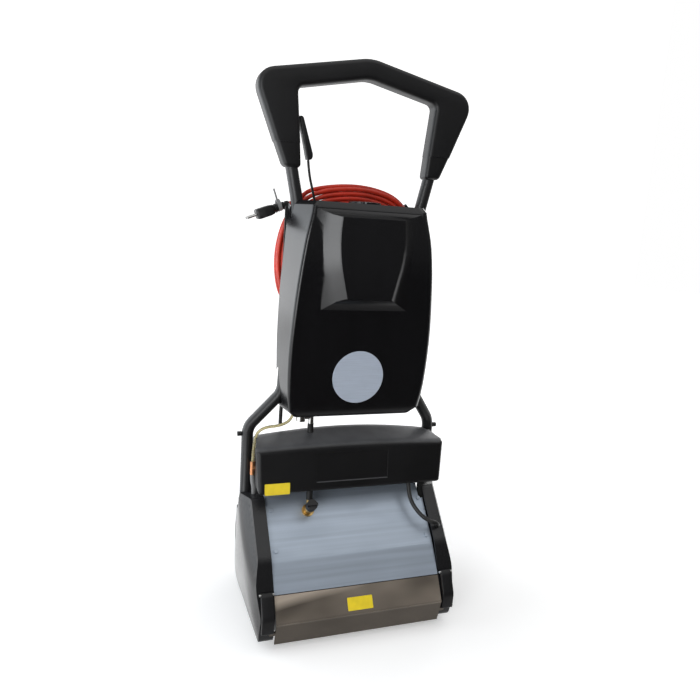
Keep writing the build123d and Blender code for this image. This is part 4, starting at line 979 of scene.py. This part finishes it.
class SCRUBBER_OT_tank(bpy.types.Operator):
    """Build the solution tank with its shield, cap, badge and valve"""

    bl_idname = "scrubber.tank"
    bl_label = "Tank"

    def execute(self, context):
        tank = to_object("tank_shell", tank_body(), paint_for("tank_moulding"), 45)
        carved(tank, "UNION", shield_mesh())
        carved(tank, "DIFFERENCE", tube_channel(-1), tube_channel(1))
        rounded(tank, 0.0035, 4, 28.0)
        settle(tank, "water_tank")
        stand_in("tank_cap_top", "tank_cap", ribbed_cap(), 30)
        badge = dressed("badge_disc", 0.0005)
        badge.data.transform(badge_fit())
        dressed("outlet_valve", 0.0008)
        return {"FINISHED"}


# Mains cord, hoses and leads

CORD_D, CORD_LENGTH = 8.6, 9.366
COIL_Z, COIL_HALF, COIL_PITCH, COIL_QUARTERS = 740.0, 146.0, 9.2, 46
COIL_LAYERS, COIL_SQUARE = (28.6, 37.8), 0.104
COIL_LEFT, COIL_TOP, COIL_FOOT = 16.0, 6.0, 12.0
COIL_ENTRY, COIL_START = ((-123.6, 624.0), (-107.0, 617.2)), (-92.0, -128.5)
COIL_EXIT = ((-112.0, 866.0), (-125.4, 855.2))
PLUG_AT, PLUG_WAY = (-136.6, 37.8, 850.8), (-0.930, 0.0, -0.368)
PLUG_RIB = ((0, 7.3), (2.6, 7.5), (3.0, 6.2), (5.0, 6.3))
PLUG_LEVELS = ((0.009, 1.28, 1.17), (0.014, 1.0, 1.0), (0.010, 1.0, 1.0), (0.0035, 0.86, 0.86))
PIN_R, PIN_LONG, PIN_X, PIN_Z = 0.0024, 0.020, 0.0095, 0.080
SOLUTION_HOSE = ((-88, -46.1, 262.1), (-88, -46.1, 292.1), (-85, -28.1, 330), (-82, -8, 360), (-82, -8, 412))
POWER_LEAD = ((-138.4, 28.6, 619.1), (-150, 29.6, 583), (-134, 32.6, 522), (-133, 35.6, 465), (-134, 40, 430),
              (-134, 40, 398))
VENT_TUBE = ((-120, -4, 436), (-120, -4, 422), (-142, -4, 408), (-180, 0, 405), (-197, 4, 384), (-197, 4, 332))
PULL_WIRE = ((-112, 0, 933.4), (-109, 1, 909.4), (-98, 9, 879.4), (-87, 19.3, 850), (-83, 19.3, 800),
             (-81.5, 19.3, 740), (-81, 19.3, 680), (-82, 19.3, 620), (-83.5, 19.3, 560), (-86, 19.3, 505),
             (-94, 19.3, 462), (-104, 19.3, 427), (-104, 2, 427))
SIDE_CABLE = ((132, -46, 292), (131, -51, 268), (135, -68, 240), (155, -94, 216), (187, -102.5, 206),
              (190, -85.5, 193))
SIDE_HOSE = ((-197, 4, 304), (-197, 4, 290), (-193, 5, 276), (-193, 5, 262))


def route(name, points, radius=0.0):
    """A NURBS curve with the route's points as its control points."""
    curve = bpy.data.curves.new(name, "CURVE")
    curve.dimensions = "3D"
    curve.resolution_u = 6
    curve.bevel_depth = radius / 1000
    curve.bevel_resolution = 4
    curve.use_fill_caps = True
    spline = curve.splines.new("NURBS")
    spline.points.add(len(points) - 1)
    for knot, place in zip(spline.points, points):
        knot.co = (*mm(*place), 1.0)
    spline.order_u = 3
    spline.use_endpoint_u = True
    return linked(name, curve)


def route_mesh(name, points, radius=0.0):
    """A route's spline as a mesh: a tube, or a bare line where it has no radius."""
    made = route(name, points, radius)
    mesh = bpy.data.meshes.new_from_object(made)
    bpy.data.objects.remove(made)
    return mesh


def route_line(points):
    """The smooth line of a route, as points read from its spline."""
    mesh = route_mesh("line", points)
    line = [v.co.copy() for v in mesh.vertices]
    bpy.data.meshes.remove(mesh)
    return line


def tube_piece(node, points, radius):
    """A round tube along a route's spline, in the material of a node's slot."""
    name = f"{node}_line"
    return from_mesh(name, route_mesh(name, points, radius), paint_for(SLOT_OF[node]), 60.0)


def hose(node, points, radius, stiffness, lay, bend=None):
    """A hose, wire or lead on a node's route; bend names two bodies and where it turns between them."""
    line = route_line(points)
    piece = tube_piece(node, points, radius)
    if bend:
        first, second, start, end = bend
        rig.replaces(piece, node)
        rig.slot(piece, SLOT_OF[node])
        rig.blend(piece, first, second, start=tuple(mm(*start)), end=tuple(mm(*end)))
    else:
        settle(piece, node)
    measure = sum((b - a).length for a, b in zip(line, line[1:]))
    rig.cord(piece, exit=tuple(line[0]), length=measure, diameter=2 * radius / 1000, far_end="object",
            stiffness=stiffness, lay=lay, path=[tuple(p) for p in line])


def coil_points():
    """The mains cord's route: a rounded spiral in to the hooks, a layer back, and out again to the plug."""
    front, back = COIL_LAYERS
    points = [(x, front, z) for x, z in COIL_ENTRY]
    start = math.atan2(COIL_START[1], COIL_START[0])
    for step in range(4 * COIL_QUARTERS + 4):
        k = step / 4
        turn = start + k * math.pi / 2
        size = COIL_HALF - COIL_PITCH / 4 * min(k, max(COIL_QUARTERS - k, 0))
        radius = size * (1 + COIL_SQUARE * math.sin(2 * turn) ** 2) / math.cos(math.pi / 16)
        climb = min(max(k - COIL_QUARTERS / 2 + 1, 0), 2) / 2
        hang, across, up = min(k / 2, 1), math.cos(turn), math.sin(turn)
        x = radius * across - hang * COIL_LEFT * max(-across, 0)
        z = COIL_Z + radius * up + hang * (COIL_TOP * max(up, 0) + COIL_FOOT * max(-up, 0))
        points.append((x, front + (back - front) * climb, z))
    return points + [(x, back, z) for x, z in COIL_EXIT] + [PLUG_AT]


def plug_place():
    """The plug's own frame: X along the machine's Y, Z out of the cord."""
    way, side = Vector(PLUG_WAY).normalized(), Vector((0, 1, 0))
    return placed(mm(*PLUG_AT), side, way.cross(side), way)


def plug_neck():
    """The plug's neck, with ribs that widen towards the body."""
    start, pitch, wider = 5, 5.5, 0.4
    rings = [(0, 6.0), (2, 7.0)]
    for rib in range(5):
        rings += [(start + pitch * rib + up, r + wider * rib) for up, r in PLUG_RIB]
    rings.append((34, 9.4))
    return spun([Vector((r, 0, z)) / 1000 for z, r in rings], (0, 0, 0), (0, 0, 1), 24)


def plug_mesh():
    """A moulded plug: its neck and a waisted body."""
    body = bmesh.new()
    base = bmesh.ops.create_grid(body, x_segments=1, y_segments=1, size=0.5)["verts"]
    bmesh.ops.scale(body, verts=base, vec=(0.021, 0.017, 1))
    bmesh.ops.translate(body, verts=base, vec=(0, 0, 0.033))
    face = body.faces[:][0]
    for rise, wide, thick in PLUG_LEVELS:
        face = lift(body, face, (0, 0, rise))
        bmesh.ops.scale(body, verts=face.verts, vec=(wide, thick, 1), space=Matrix.Identity(4))
    soften(body, sharp_edges(body, 20), 0.003, 3)
    bm = plug_neck()
    join_into(bm, body)
    bmesh.ops.transform(closed(bm), matrix=plug_place(), verts=bm.verts)
    return bm


def plug_pins():
    """The plug's two round pins."""
    bm = bmesh.new()
    for side in (-1, 1):
        made = bmesh.ops.create_cone(bm, cap_ends=True, segments=20, radius1=PIN_R, radius2=PIN_R,
                                     depth=PIN_LONG)
        bmesh.ops.translate(bm, verts=made["verts"], vec=(side * PIN_X, 0, PIN_Z))
    soften(bm, sharp_edges(bm, 60), 0.0008, 3)
    bmesh.ops.transform(closed(bm), matrix=plug_place(), verts=bm.verts)
    return bm


class SCRUBBER_OT_cord(bpy.types.Operator):
    """Lay the mains cord in its coil, with its plug and clip"""

    bl_idname = "scrubber.cord"
    bl_label = "Mains cord"

    def execute(self, context):
        cord = route("mains_cord", coil_points(), CORD_D / 2)
        cord.data.materials.append(paint_for("red_cord"))
        settle(cord, "cord_coil")
        plug = stand_in("plug_body", "plug", plug_mesh())
        prongs = to_object("plug_pins", plug_pins(), paint_for("bright_steel"))
        settle(prongs, body="handle", slot="bright_steel")
        clip = dressed("cord_clip", 0.0008)
        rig.cord(cord, exit=tuple(mm(*coil_points()[0])), length=CORD_LENGTH, diameter=CORD_D / 1000,
                far_end="plug", stiffness="medium", lay="coiled", with_pieces=[plug, prongs, clip])
        for node in ("cord_hooks", "swivel_hook", "cord_box", "carrier_plate"):
            dressed(node, 0.0012)
        return {"FINISHED"}


class SCRUBBER_OT_hoses(bpy.types.Operator):
    """Run the hoses, leads and the trigger's wire"""

    bl_idname = "scrubber.hoses"
    bl_label = "Hoses and leads"

    def execute(self, context):
        hose("solution_hose", SOLUTION_HOSE, 6.5, "medium", "taut",
             ("base", "handle", (-85, -30, 335), (-82, -8, 405)))
        hose("power_lead", POWER_LEAD, 4.0, "medium", "hanging",
             ("base", "handle", (-134, 40, 402), (-140, 30, 520)))
        hose("vent_tube", VENT_TUBE, 3.0, "medium", "hanging",
             ("base", "handle", (-197, 4, 340), (-142, -4, 412)))
        hose("pull_wire", PULL_WIRE, 2.5, "stiff", "taut",
             ("handle", "trigger", (-98, 9, 880), (-112, 0, 930)))
        hose("side_cable", SIDE_CABLE, 4.5, "medium", "loose")
        settle(tube_piece("side_hose", SIDE_HOSE, 4.5), "side_hose")
        return {"FINISHED"}


# Base: the cover's section is Y, Z and share of its crown

HOOD_HALF, HOOD_NOTCH_X, HOOD_NOTCH_SHARE = 175.0, 166.0, 0.66
COVER_SECTION = ((-66, 286, 0.0), (-57, 374, 0.3), (-44, 377.5, 0.5), (-4, 384, 0.95), (9, 385, 1.0),
                 (36, 377, 0.8), (62, 368, 0.6), (70, 320, 0.0), (75, 279, 0.0))
COVER_HALF, COVER_BACK_HALF, COVER_NOSE_HALF = 206.0, 188.0, 198.0
COVER_CROWN, COVER_ROWS, COVER_TAPER_Y = 15.0, 17, (-44.0, -4.0)
PANEL, PANEL_X = ((-72, 301), (-61.4, 305), (-55, 364), (-72, 364)), (-80, 75)
HOUSING_RADII = (14, 60, 24, 14, 42, 60, 16)
HOUSING_X_FRONT, HOUSING_X_MID, HOUSING_X_FOOT = 203.0, 222.0, 200.0
HOUSING_CREST, HOUSING_CREST_Z, HOUSING_BROW = 3.0, 200.0, 36.0
HOUSING_PLAN_Y, HOUSING_FAR, HOUSING_WALL, HOUSING_OPEN = (-155.0, 124.0), 240.0, 2.4, 6.0
HOUSING_RIM_TURN, HOUSING_RIM_X = 0.7, 0.19
HOUSING_CUTS = (((0, 1, 0), -153, 122, 24), ((0, 0, 1), 15, 262, 22))
SLOT_ROOM, SLOT_GAP, SLOT_TOP, SLOT_LONG, SLOT_BEHIND_X, SLOT_WALL_Z = 3.0, 2.0, 345.0, 300.0, 235.0, 226.0
LATCH_NEAR, LATCH_OUT, LATCH_TIP_Z, LATCH_X = 1.2, 8.8, 44.0, (178.8, 202.8)


def hood_sheet():
    """The hood: its line swept across, bent softly, with the corner open for the belt."""
    foot, bend, top = HOOD_LINE
    line = [foot, bend, share_of(bend, top, HOOD_NOTCH_SHARE), top]
    bm = bmesh.new()
    left, notch, right = ([bm.verts.new(mm(x, *p)) for p in line]
                          for x in (-HOOD_HALF, HOOD_NOTCH_X, HOOD_HALF))
    for a, b, strips in ((left, notch, 3), (notch, right, 2)):
        for j in range(strips):
            bm.faces.new((a[j], b[j], b[j + 1], a[j + 1]))
    bends = [e for e in bm.edges if all((v.co - mm(v.co.x * 1000, *bend)).length < 1e-5 for v in e.verts)]
    soften(bm, bends, sizes().sheet_bend, 5)
    bm.normal_update()
    return bm


def thick(piece, thickness, edge_round):
    """Give a sheet its thickness, inwards, as a live modifier, and round its edges."""
    solid = piece.modifiers.new("thickness", "SOLIDIFY")
    solid.thickness, solid.offset, solid.use_even_offset = thickness, -1.0, True
    rounded(piece, edge_round, 2, 50.0)
    return piece


def cover_half(y):
    """The motor cover's half length at a place along the machine: a blunt nose, then a taper to its back."""
    front, back = COVER_TAPER_Y
    if y < front:
        return COVER_HALF - (COVER_HALF - COVER_NOSE_HALF) * (front - y) / (front - COVER_SECTION[0][0])
    return COVER_BACK_HALF + (COVER_HALF - COVER_BACK_HALF) * max(back - y, 0) / (back - front)


def cover_mesh():
    """The motor cover: its section run across the machine, crowned in the middle."""
    rows = []
    for i in range(COVER_ROWS):
        s = -1 + 2 * i / (COVER_ROWS - 1)
        crown = COVER_CROWN * (1 - s * s)
        rows.append([mm(s * cover_half(y), y, z + crown * share) for y, z, share in COVER_SECTION])
    return loft(rows)


def soft_least(*values, blend=2.0):
    """The least of some lengths, with the change from one to the next rounded off."""
    least = min(values)
    return least - blend * math.log(sum(math.exp((least - v) / blend) for v in values))


def housing_bow(y, z):
    """The housing's outer X at a place on its side: bowed in plan, drawn in at the foot and along its brow."""
    low, high = HOUSING_PLAN_Y
    half, off = (high - low) / 2, PIVOT[0] - (high + low) / 2
    rise = HOUSING_X_MID - HOUSING_X_FRONT
    reach = ((half**2 - off**2) / rise + rise) / 2
    plan = HOUSING_X_MID - reach + math.sqrt(reach**2 + off**2 - (y - (high + low) / 2) ** 2)
    crest = HOUSING_X_MID + HOUSING_CREST
    draw = crest - HOUSING_X_FOOT
    sweep = (draw**2 + HOUSING_CREST_Z**2) / (2 * draw)
    belly = crest - sweep + math.sqrt(sweep**2 - max(HOUSING_CREST_Z - z, 0) ** 2)
    top, bend = Vector(HOUSING_OUTLINE[0]), Vector(HOUSING_OUTLINE[1])
    along = (bend - top).normalized()
    behind = (Vector((y, z)) - top).dot(Vector((-along.y, along.x)))
    brow = HOUSING_X_FRONT + (crest - HOUSING_X_FRONT) * behind / HOUSING_BROW
    return soft_least(plan, belly, brow)


def inset_outline(inset):
    """The housing's outline moved in, with the tangent length of each corner's arc."""
    count = len(HOUSING_OUTLINE)
    points = []
    for i, radius in enumerate(HOUSING_RADII):
        before, here, after = (Vector(HOUSING_OUTLINE[j % count]) for j in (i - 1, i, i + 1))
        first, second = (here - before).normalized(), (after - here).normalized()
        inward = Vector((-first.y, first.x)) + Vector((-second.y, second.x))
        half_turn = first.angle(second) / 2
        place = here + inward.normalized() * inset / math.cos(half_turn)
        points.append((place.x, place.y, max(radius - inset, 1) * math.tan(half_turn)))
    return points


def housing_mesh(side, inset=0.0):
    """An end housing's outer or inner form: its rounded side outline pulled out to a bowed face."""
    near = RIM_X - HOUSING_OPEN if inset else RIM_X
    bm = prism(inset_outline(inset), "X", side * near, side * HOUSING_FAR)
    for way, low, high, count in HOUSING_CUTS:
        for i in range(1, count):
            level = low + (high - low) * i / count
            bmesh.ops.bisect_plane(bm, geom=bm.verts[:] + bm.edges[:] + bm.faces[:],
                                   plane_co=mm(0, level, level), plane_no=way)
    for vert in bm.verts:
        x, y, z = vert.co * 1000
        if abs(x) > HOUSING_FAR - 1:
            vert.co.x = side * (housing_bow(y - FRAME_SHIFT, z) - inset) / 1000
    if not inset:
        rims = [e for e in bm.edges if e.calc_face_angle(0) > HOUSING_RIM_TURN
                and min(abs(v.co.x) for v in e.verts) > HOUSING_RIM_X]
        soften(bm, rims, sizes().housing_round, 4)
    return closed(bm)


def tilt_slot(side):
    """The slot that a handle tube swings through in its housing, and the openings behind and over it."""
    lean, room = math.radians(TILT), TUBE_R + SLOT_ROOM
    low = (PIVOT[0] + room * math.cos(lean), PIVOT[1] - room * math.sin(lean))
    far = (low[0] + SLOT_LONG * math.sin(lean), low[1] + SLOT_LONG * math.cos(lean))
    front_y, open_y = PIVOT[0] - room, PIVOT[0] + room
    open_z = low[1] + (far[1] - low[1]) * (open_y - low[0]) / (far[0] - low[0])
    near_x, far_x = side * (TUBE_X - TUBE_R - SLOT_GAP), side * (TUBE_X + TUBE_R + SLOT_GAP)
    swing = [(front_y, low[1]), (front_y, SLOT_TOP), (far[0], SLOT_TOP), far, low]
    behind = [(open_y, max(open_z, low[1]), 9), (open_y, SLOT_TOP), (far[0], SLOT_TOP), far]
    above = [(front_y + 0.4, SLOT_WALL_Z, 4), (open_y - 9, SLOT_WALL_Z), (open_y + 5, SLOT_WALL_Z - 14),
             (open_y + 5, SLOT_TOP + 5), (front_y + 0.4, SLOT_TOP + 5)]
    return (prism(swing, "X", near_x, far_x), prism(behind, "X", near_x, side * SLOT_BEHIND_X),
            prism(above, "X", side * TUBE_X, side * HOUSING_FAR))


def latch_mesh(side):
    """A latch: a lever down the housing's front with a finger tip."""
    top, foot = Vector(HOUSING_OUTLINE[1]), Vector(HOUSING_OUTLINE[2])
    down = (foot - top).normalized()
    out = Vector((down.y, -down.x))

    def at(share, reach):
        return tuple(top + (foot - top) * share + out * reach)

    tip = at(1.0, 1)[0] + 1.5
    points = [(*at(0.54, LATCH_NEAR), 2), (*at(1.0, LATCH_NEAR), 3), (tip, LATCH_TIP_Z, 1.5),
              (tip - 7.5, LATCH_TIP_Z, 3), (*at(1.0, LATCH_OUT), 6), (*at(0.62, LATCH_OUT), 2),
              (*at(0.54, 6.5), 3)]
    bm = prism(points, "X", *(side * x for x in LATCH_X))
    soften(bm, sharp_edges(bm, 50), 0.0018, 3)
    return bm


class SCRUBBER_OT_base(bpy.types.Operator):
    """Build the base's covers, housings, latches and tray"""

    bl_idname = "scrubber.base"
    bl_label = "Base"

    def execute(self, context):
        hood = to_object("hood_sheet", hood_sheet(), paint_for("brushed_sheet"), 60)
        settle(thick(hood, 0.0015, 0.0004), "front_hood")

        cover = to_object("cover_shell", cover_mesh(), paint_for("cover_moulding"), 40)
        rounded(cover, sizes().cover_round, 4, 25.0)
        apply_modifiers(cover)
        carved(cover, "DIFFERENCE", prism(PANEL, "X", *PANEL_X))
        rounded(cover, 0.0018, 3, 35.0)
        settle(cover, "motor_cover")

        for word, side in SIDES:
            housing = to_object(f"{word}_housing_shell", housing_mesh(side), paint_for("housing_moulding"), 40)
            carved(housing, "DIFFERENCE", housing_mesh(side, HOUSING_WALL), *tilt_slot(side))
            housing.data.set_sharp_from_angle(angle=math.radians(35))
            settle(housing, f"{word}_housing")
            stand_in(f"{word}_latch_lever", f"{word}_latch", latch_mesh(side), 40)
        dressed("latch_pins", 0.0006)
        dressed("recovery_tray", 0.0005, material=tray_sheet())
        dressed("cover_screws", 0.0006, material=paint_for("brushed_sheet"))
        for node in ("rear_cover", "tap_elbow", "tap_knob", "side_fitting"):
            dressed(node, 0.0007)
        return {"FINISHED"}


# Blank plates

COVER_PLATE, COVER_PLATE_AT = (51, 23), (-160.5, -65.0, 297)
TRAY_PLATE, TRAY_PLATE_X, TRAY_PLATE_SHARE = (53, 25), -3, 0.36
PLATE_THICK, PLATE_CORNER = 0.0004, 0.0015


def plate_mesh(size, origin, up):
    """A thin blank plate with rounded corners on a surface, given by a place and a way up it."""
    w, h = (value / 2 / 1000 for value in size)
    bm = bmesh.new()
    verts = [bm.verts.new((x, y, 0)) for x, y in ((-w, -h), (w, -h), (w, h), (-w, h))]
    bm.faces.new(verts)
    soften(bm, verts, PLATE_CORNER, 4, "VERTICES")
    lift(bm, bm.faces[:][0], (0, 0, PLATE_THICK))
    across, up = Vector((1, 0, 0)), up.normalized()
    bmesh.ops.transform(closed(bm), matrix=placed(origin, across, up, across.cross(up)), verts=bm.verts)
    return bm


class SCRUBBER_OT_plates(bpy.types.Operator):
    """Fix the blank plates"""

    bl_idname = "scrubber.plates"
    bl_label = "Plates"

    def execute(self, context):
        (low_y, low_z, _), (high_y, high_z, _) = COVER_SECTION[:2]
        cover = plate_mesh(COVER_PLATE, mm(*COVER_PLATE_AT), Vector((0, high_y - low_y, high_z - low_z)))
        top, foot = Vector((0, *HOOD_LINE[0])), Vector((0, *TRAY_CREASE))
        middle = foot + (top - foot) * TRAY_PLATE_SHARE
        tray = plate_mesh(TRAY_PLATE, mm(TRAY_PLATE_X, middle.y - 0.3, middle.z), top - foot)
        for name, body, bm in (("cover_plate", "base", cover), ("tray_plate", "tray", tray)):
            settle(to_object(name, bm, paint_for("blank_plate")), body=body, slot="badge_alloy")
        return {"FINISHED"}


# Brushes and wheels: their profiles are distances from an end, and radii

BRUSH_R, BRUSH_CORE_R, BRUSH_HALF = 45.0, 22.0, 150.0
BRUSH_AXES = {"front_brush": (-28.0, 45.0), "rear_brush": (88.0, 45.0)}
BRUSH_CORE = ((0, 6.2), (0, BRUSH_CORE_R - 2), (2, BRUSH_CORE_R))
TUFT_ROWS = ((BRUSH_CORE_R - 1, 2.6), (BRUSH_R - 10, 3.4), (BRUSH_R - 0.6, 4.6))
TUFT_SIDES, TUFT_SLANT, TUFT_MARGIN = 7, 0.9, 5.0
WHEEL_AXIS, WHEEL_X, WHEEL_R, WHEEL_HALF = (179.0, 32.0), 120.0, 32.0, 14.0
RIM = ((0, 5.1), (0, 10), (6, 11), (7, 20), (1, 21.5), (1, 23.9))
GROOVE_R = WHEEL_R - 1.4
TYRE = ((0, 24.1), (0, WHEEL_R - 3), (1, WHEEL_R - 1), (3.5, WHEEL_R), (9.5, WHEEL_R), (10.2, GROOVE_R),
        (11.4, GROOVE_R), (12.1, WHEEL_R))


def tuft_mesh():
    """One bristle tuft that stands up from the brush's axis."""
    turns = [math.tau * i / TUFT_SIDES for i in range(TUFT_SIDES)]
    rows = [[Vector((r * math.cos(a), r * math.sin(a), height)) / 1000 for a in turns]
            for height, r in TUFT_ROWS]
    return to_mesh("tuft", loft(rows, foot=False))


def brush_mesh(node):
    """A brush roller: a core and slanted rows of bristle tufts."""
    y, z = BRUSH_AXES[node]
    bm = lathe(both_ends(0, BRUSH_HALF, BRUSH_CORE), (y, z), 32)
    tuft = tuft_mesh()
    rows, count = sizes().tuft_rows, sizes().tufts
    reach = BRUSH_HALF - TUFT_MARGIN
    for row in range(rows):
        for i in range(count):
            share = (i + 0.5) / count
            angle = math.tau * (row + TUFT_SLANT * abs(share - 0.5)) / rows
            start = len(bm.verts)
            bm.from_mesh(tuft)
            bm.verts.ensure_lookup_table()
            place = Matrix.Translation(mm(reach * (2 * share - 1), y, z)) @ Matrix.Rotation(angle, 4, "X")
            bmesh.ops.transform(bm, matrix=place, verts=bm.verts[start:])
    bpy.data.meshes.remove(tuft)
    return bm


def wheel_mesh(x, profile, steps):
    """A wheel's dished rim or its grooved tyre, from its profile."""
    line = both_ends(x, WHEEL_HALF, profile)
    return lathe(line + line[:1], WHEEL_AXIS, steps)


class SCRUBBER_OT_running_gear(bpy.types.Operator):
    """Build the brushes and wheels, and paint the drive"""

    bl_idname = "scrubber.running_gear"
    bl_label = "Running gear"

    def execute(self, context):
        for node in BRUSH_AXES:
            stand_in(f"{node}_tufts", node, brush_mesh(node), 40)
        for word, side in SIDES:
            x = side * WHEEL_X
            stand_in(f"{word}_wheel_rim", f"{word}_wheel", wheel_mesh(x, RIM, 48))
            stand_in(f"{word}_wheel_tyre", f"{word}_tyre", wheel_mesh(x, TYRE, 64))
        painted(*(node for node in SLOT_OF if not frame["nodes"][node].hide_render))
        return {"FINISHED"}


# Stage

CAMERA_AT = Vector((-0.464, -1.285, 0.817))
CAMERA_YAW, CAMERA_PITCH, CAMERA_ROLL = 20.1, 10.7, 3.6
CAMERA_FOCAL_PX, CAMERA_WIDE_PX, SENSOR = 660.0, 700.0, 36.0
ROOM_LIGHT = 0.16
FLOOR = ((-9, -6, 0), (9, -6, 0), (9, 9, 0), (-9, 9, 0))
WALL = ((-9, 8.9, -1), (9, 8.9, -1), (9, 8.9, 9), (-9, 8.9, 9))
PALE, PALER, DARK_FLOOR = (0.88, 0.88, 0.88, 1), (0.9, 0.9, 0.9, 1), (0.05, 0.045, 0.04, 1)


def camera_matrix():
    """The camera's frame, from its place, yaw, pitch and roll."""
    a, b, r = (math.radians(v) for v in (CAMERA_YAW, CAMERA_PITCH, CAMERA_ROLL))
    ahead = Vector((math.sin(a) * math.cos(b), math.cos(a) * math.cos(b), -math.sin(b)))
    right = Vector((math.cos(a), -math.sin(a), 0))
    above = right.cross(ahead)
    across = right * math.cos(r) + above * math.sin(r)
    up = above * math.cos(r) - right * math.sin(r)
    return placed(CAMERA_AT, across, up, -ahead)


def area_light(name, place, target, size, power, tint=(1, 1, 1)):
    """A rectangular light at a place, turned to a target."""
    lamp = bpy.data.lights.new(name, "AREA")
    lamp.shape, lamp.size, lamp.size_y = "RECTANGLE", size[0], size[1]
    lamp.energy, lamp.color = power, tint
    made = linked(name, lamp)
    made.location = place
    made.rotation_euler = (Vector(target) - Vector(place)).to_track_quat("-Z", "Y").to_euler()


def room_light(scene):
    """A plain white world: full where the camera sees it, dim as a light."""
    world = bpy.data.worlds.new("room")
    world.use_nodes = True
    nodes, links = world.node_tree.nodes, world.node_tree.links
    sky = nodes["Background"]
    sky.inputs["Color"].default_value = WHITE
    ray = nodes.new("ShaderNodeLightPath")
    level = nodes.new("ShaderNodeMapRange")
    level.inputs["To Min"].default_value = ROOM_LIGHT
    links.new(ray.outputs["Is Camera Ray"], level.inputs["Value"])
    links.new(level.outputs["Result"], sky.inputs["Strength"])
    scene.world = world


def stage_paint(name):
    """A pale matt paint that can also shine, and its colour."""
    paint = Paint(name, roughness=0.9, specular_ior_level=0.1, emission_strength=1.0)
    return paint, paint.mix(paint.noise(2.0), PALE, PALER)


def seen_rays(paint):
    """One for camera, mirror and see-through rays, nothing for the light that falls on the object."""
    return paint.rays("Camera").larger(paint.rays("Glossy")).larger(paint.rays("Transmission"))


def stage_sheet(name, corners, paint, base, white):
    """A sheet of the stage: its colour, and where it shines white."""
    paint.feed("Base Color", base)
    paint.feed("Emission Color", paint.mix(white, BLACK, WHITE))
    bm = bmesh.new()
    bm.faces.new([bm.verts.new(corner) for corner in corners])
    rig.stage(to_object(name, bm, paint.material))


def pale_floor():
    """A pale floor: shaded near the object, plain white further off, dark in mirrors in front of it."""
    paint, pale = stage_paint("Pale floor")
    across, ahead = (paint.coordinate(letter) for letter in "XY")
    glossy = paint.rays("Glossy")
    mirrored = glossy * paint.span(ahead, 0.1, -0.4) * paint.span(across, -0.95, -0.6)
    away = paint.node("ShaderNodeVectorMath", {"operation": "LENGTH"}, {0: paint.place}, output="Value")
    near = paint.span(away, 0.3, 2.5, 0.35, 1.0)
    white = seen_rays(paint) * near.larger(0.85 * glossy) * (1.0 - mirrored)
    stage_sheet("floor", FLOOR, paint, paint.mix(mirrored, pale, DARK_FLOOR), white)


def backdrop():
    """A pale wall far behind, white only where it is seen."""
    paint, pale = stage_paint("White wall")
    stage_sheet("backdrop", WALL, paint, pale, seen_rays(paint))


class SCRUBBER_OT_stage(bpy.types.Operator):
    """Set the camera, lights, floor and backdrop"""

    bl_idname = "scrubber.stage"
    bl_label = "Stage"

    def execute(self, context):
        camera = bpy.data.cameras.new("camera")
        camera.sensor_width = SENSOR
        camera.lens = CAMERA_FOCAL_PX / CAMERA_WIDE_PX * SENSOR
        eye = linked("camera", camera)
        eye.matrix_world = camera_matrix()
        context.scene.camera = eye
        context.scene.view_settings.view_transform = "Standard"
        room_light(context.scene)
        area_light("window", (-2.5, 1.2, 1.15), (0, 1.2, 0.85), (3.0, 2.4), 60.0, (0.9, 0.95, 1.0))
        area_light("ceiling", (0.6, -1.4, 3.4), (0.6, -1.4, 0), (6.0, 5.0), 84.0)
        area_light("back_window", (-2.8, 5.0, 1.3), (-0.2, 0, 0.6), (2.8, 2.6), 42.0, (0.95, 0.97, 1.0))
        area_light("side_window", (-2.1, -2.3, 1.0), (0, -0.1, 0.75), (1.1, 2.0), 42.0, (0.96, 0.98, 1.0))
        area_light("far_window", (2.6, 2.3, 1.3), (0.1, 0, 0.7), (1.2, 2.0), 18.0)
        pale_floor()
        backdrop()
        return {"FINISHED"}


# Panel and registration

OPERATORS = (
    SCRUBBER_OT_handle, SCRUBBER_OT_tank, SCRUBBER_OT_cord, SCRUBBER_OT_hoses, SCRUBBER_OT_base,
    SCRUBBER_OT_plates, SCRUBBER_OT_running_gear, SCRUBBER_OT_stage,
)


class SCRUBBER_PT_panel(bpy.types.Panel):
    """Settings and steps of the floor scrubber"""

    bl_idname = "SCRUBBER_PT_panel"
    bl_label = "Floor scrubber"
    bl_space_type = "VIEW_3D"
    bl_region_type = "UI"
    bl_category = "Scrubber"

    def draw(self, context):
        for group in (context.scene.scrubber_sizes, context.scene.scrubber_colours):
            for word in group.bl_rna.properties.keys():
                if word not in ("rna_type", "name"):
                    self.layout.prop(group, word)
        for step in OPERATORS:
            self.layout.operator(step.bl_idname)


CLASSES = (ScrubberSizes, ScrubberColours, *OPERATORS, SCRUBBER_PT_panel)


def register():
    for one in CLASSES:
        bpy.utils.register_class(one)
    bpy.types.Scene.scrubber_sizes = PointerProperty(type=ScrubberSizes)
    bpy.types.Scene.scrubber_colours = PointerProperty(type=ScrubberColours)


def unregister():
    del bpy.types.Scene.scrubber_colours
    del bpy.types.Scene.scrubber_sizes
    for one in reversed(CLASSES):
        bpy.utils.unregister_class(one)


def main():
    register()
    for step in OPERATORS:
        group, name = step.bl_idname.split(".")
        getattr(getattr(bpy.ops, group), name)()
    boxes = {"cad": [list(corner) for corner in CAD_BOX], "visual": [list(corner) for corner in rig.bounds()]}
    with open("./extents.json", "w") as out:
        json.dump(boxes, out)


if __name__ == "__main__":
    main()
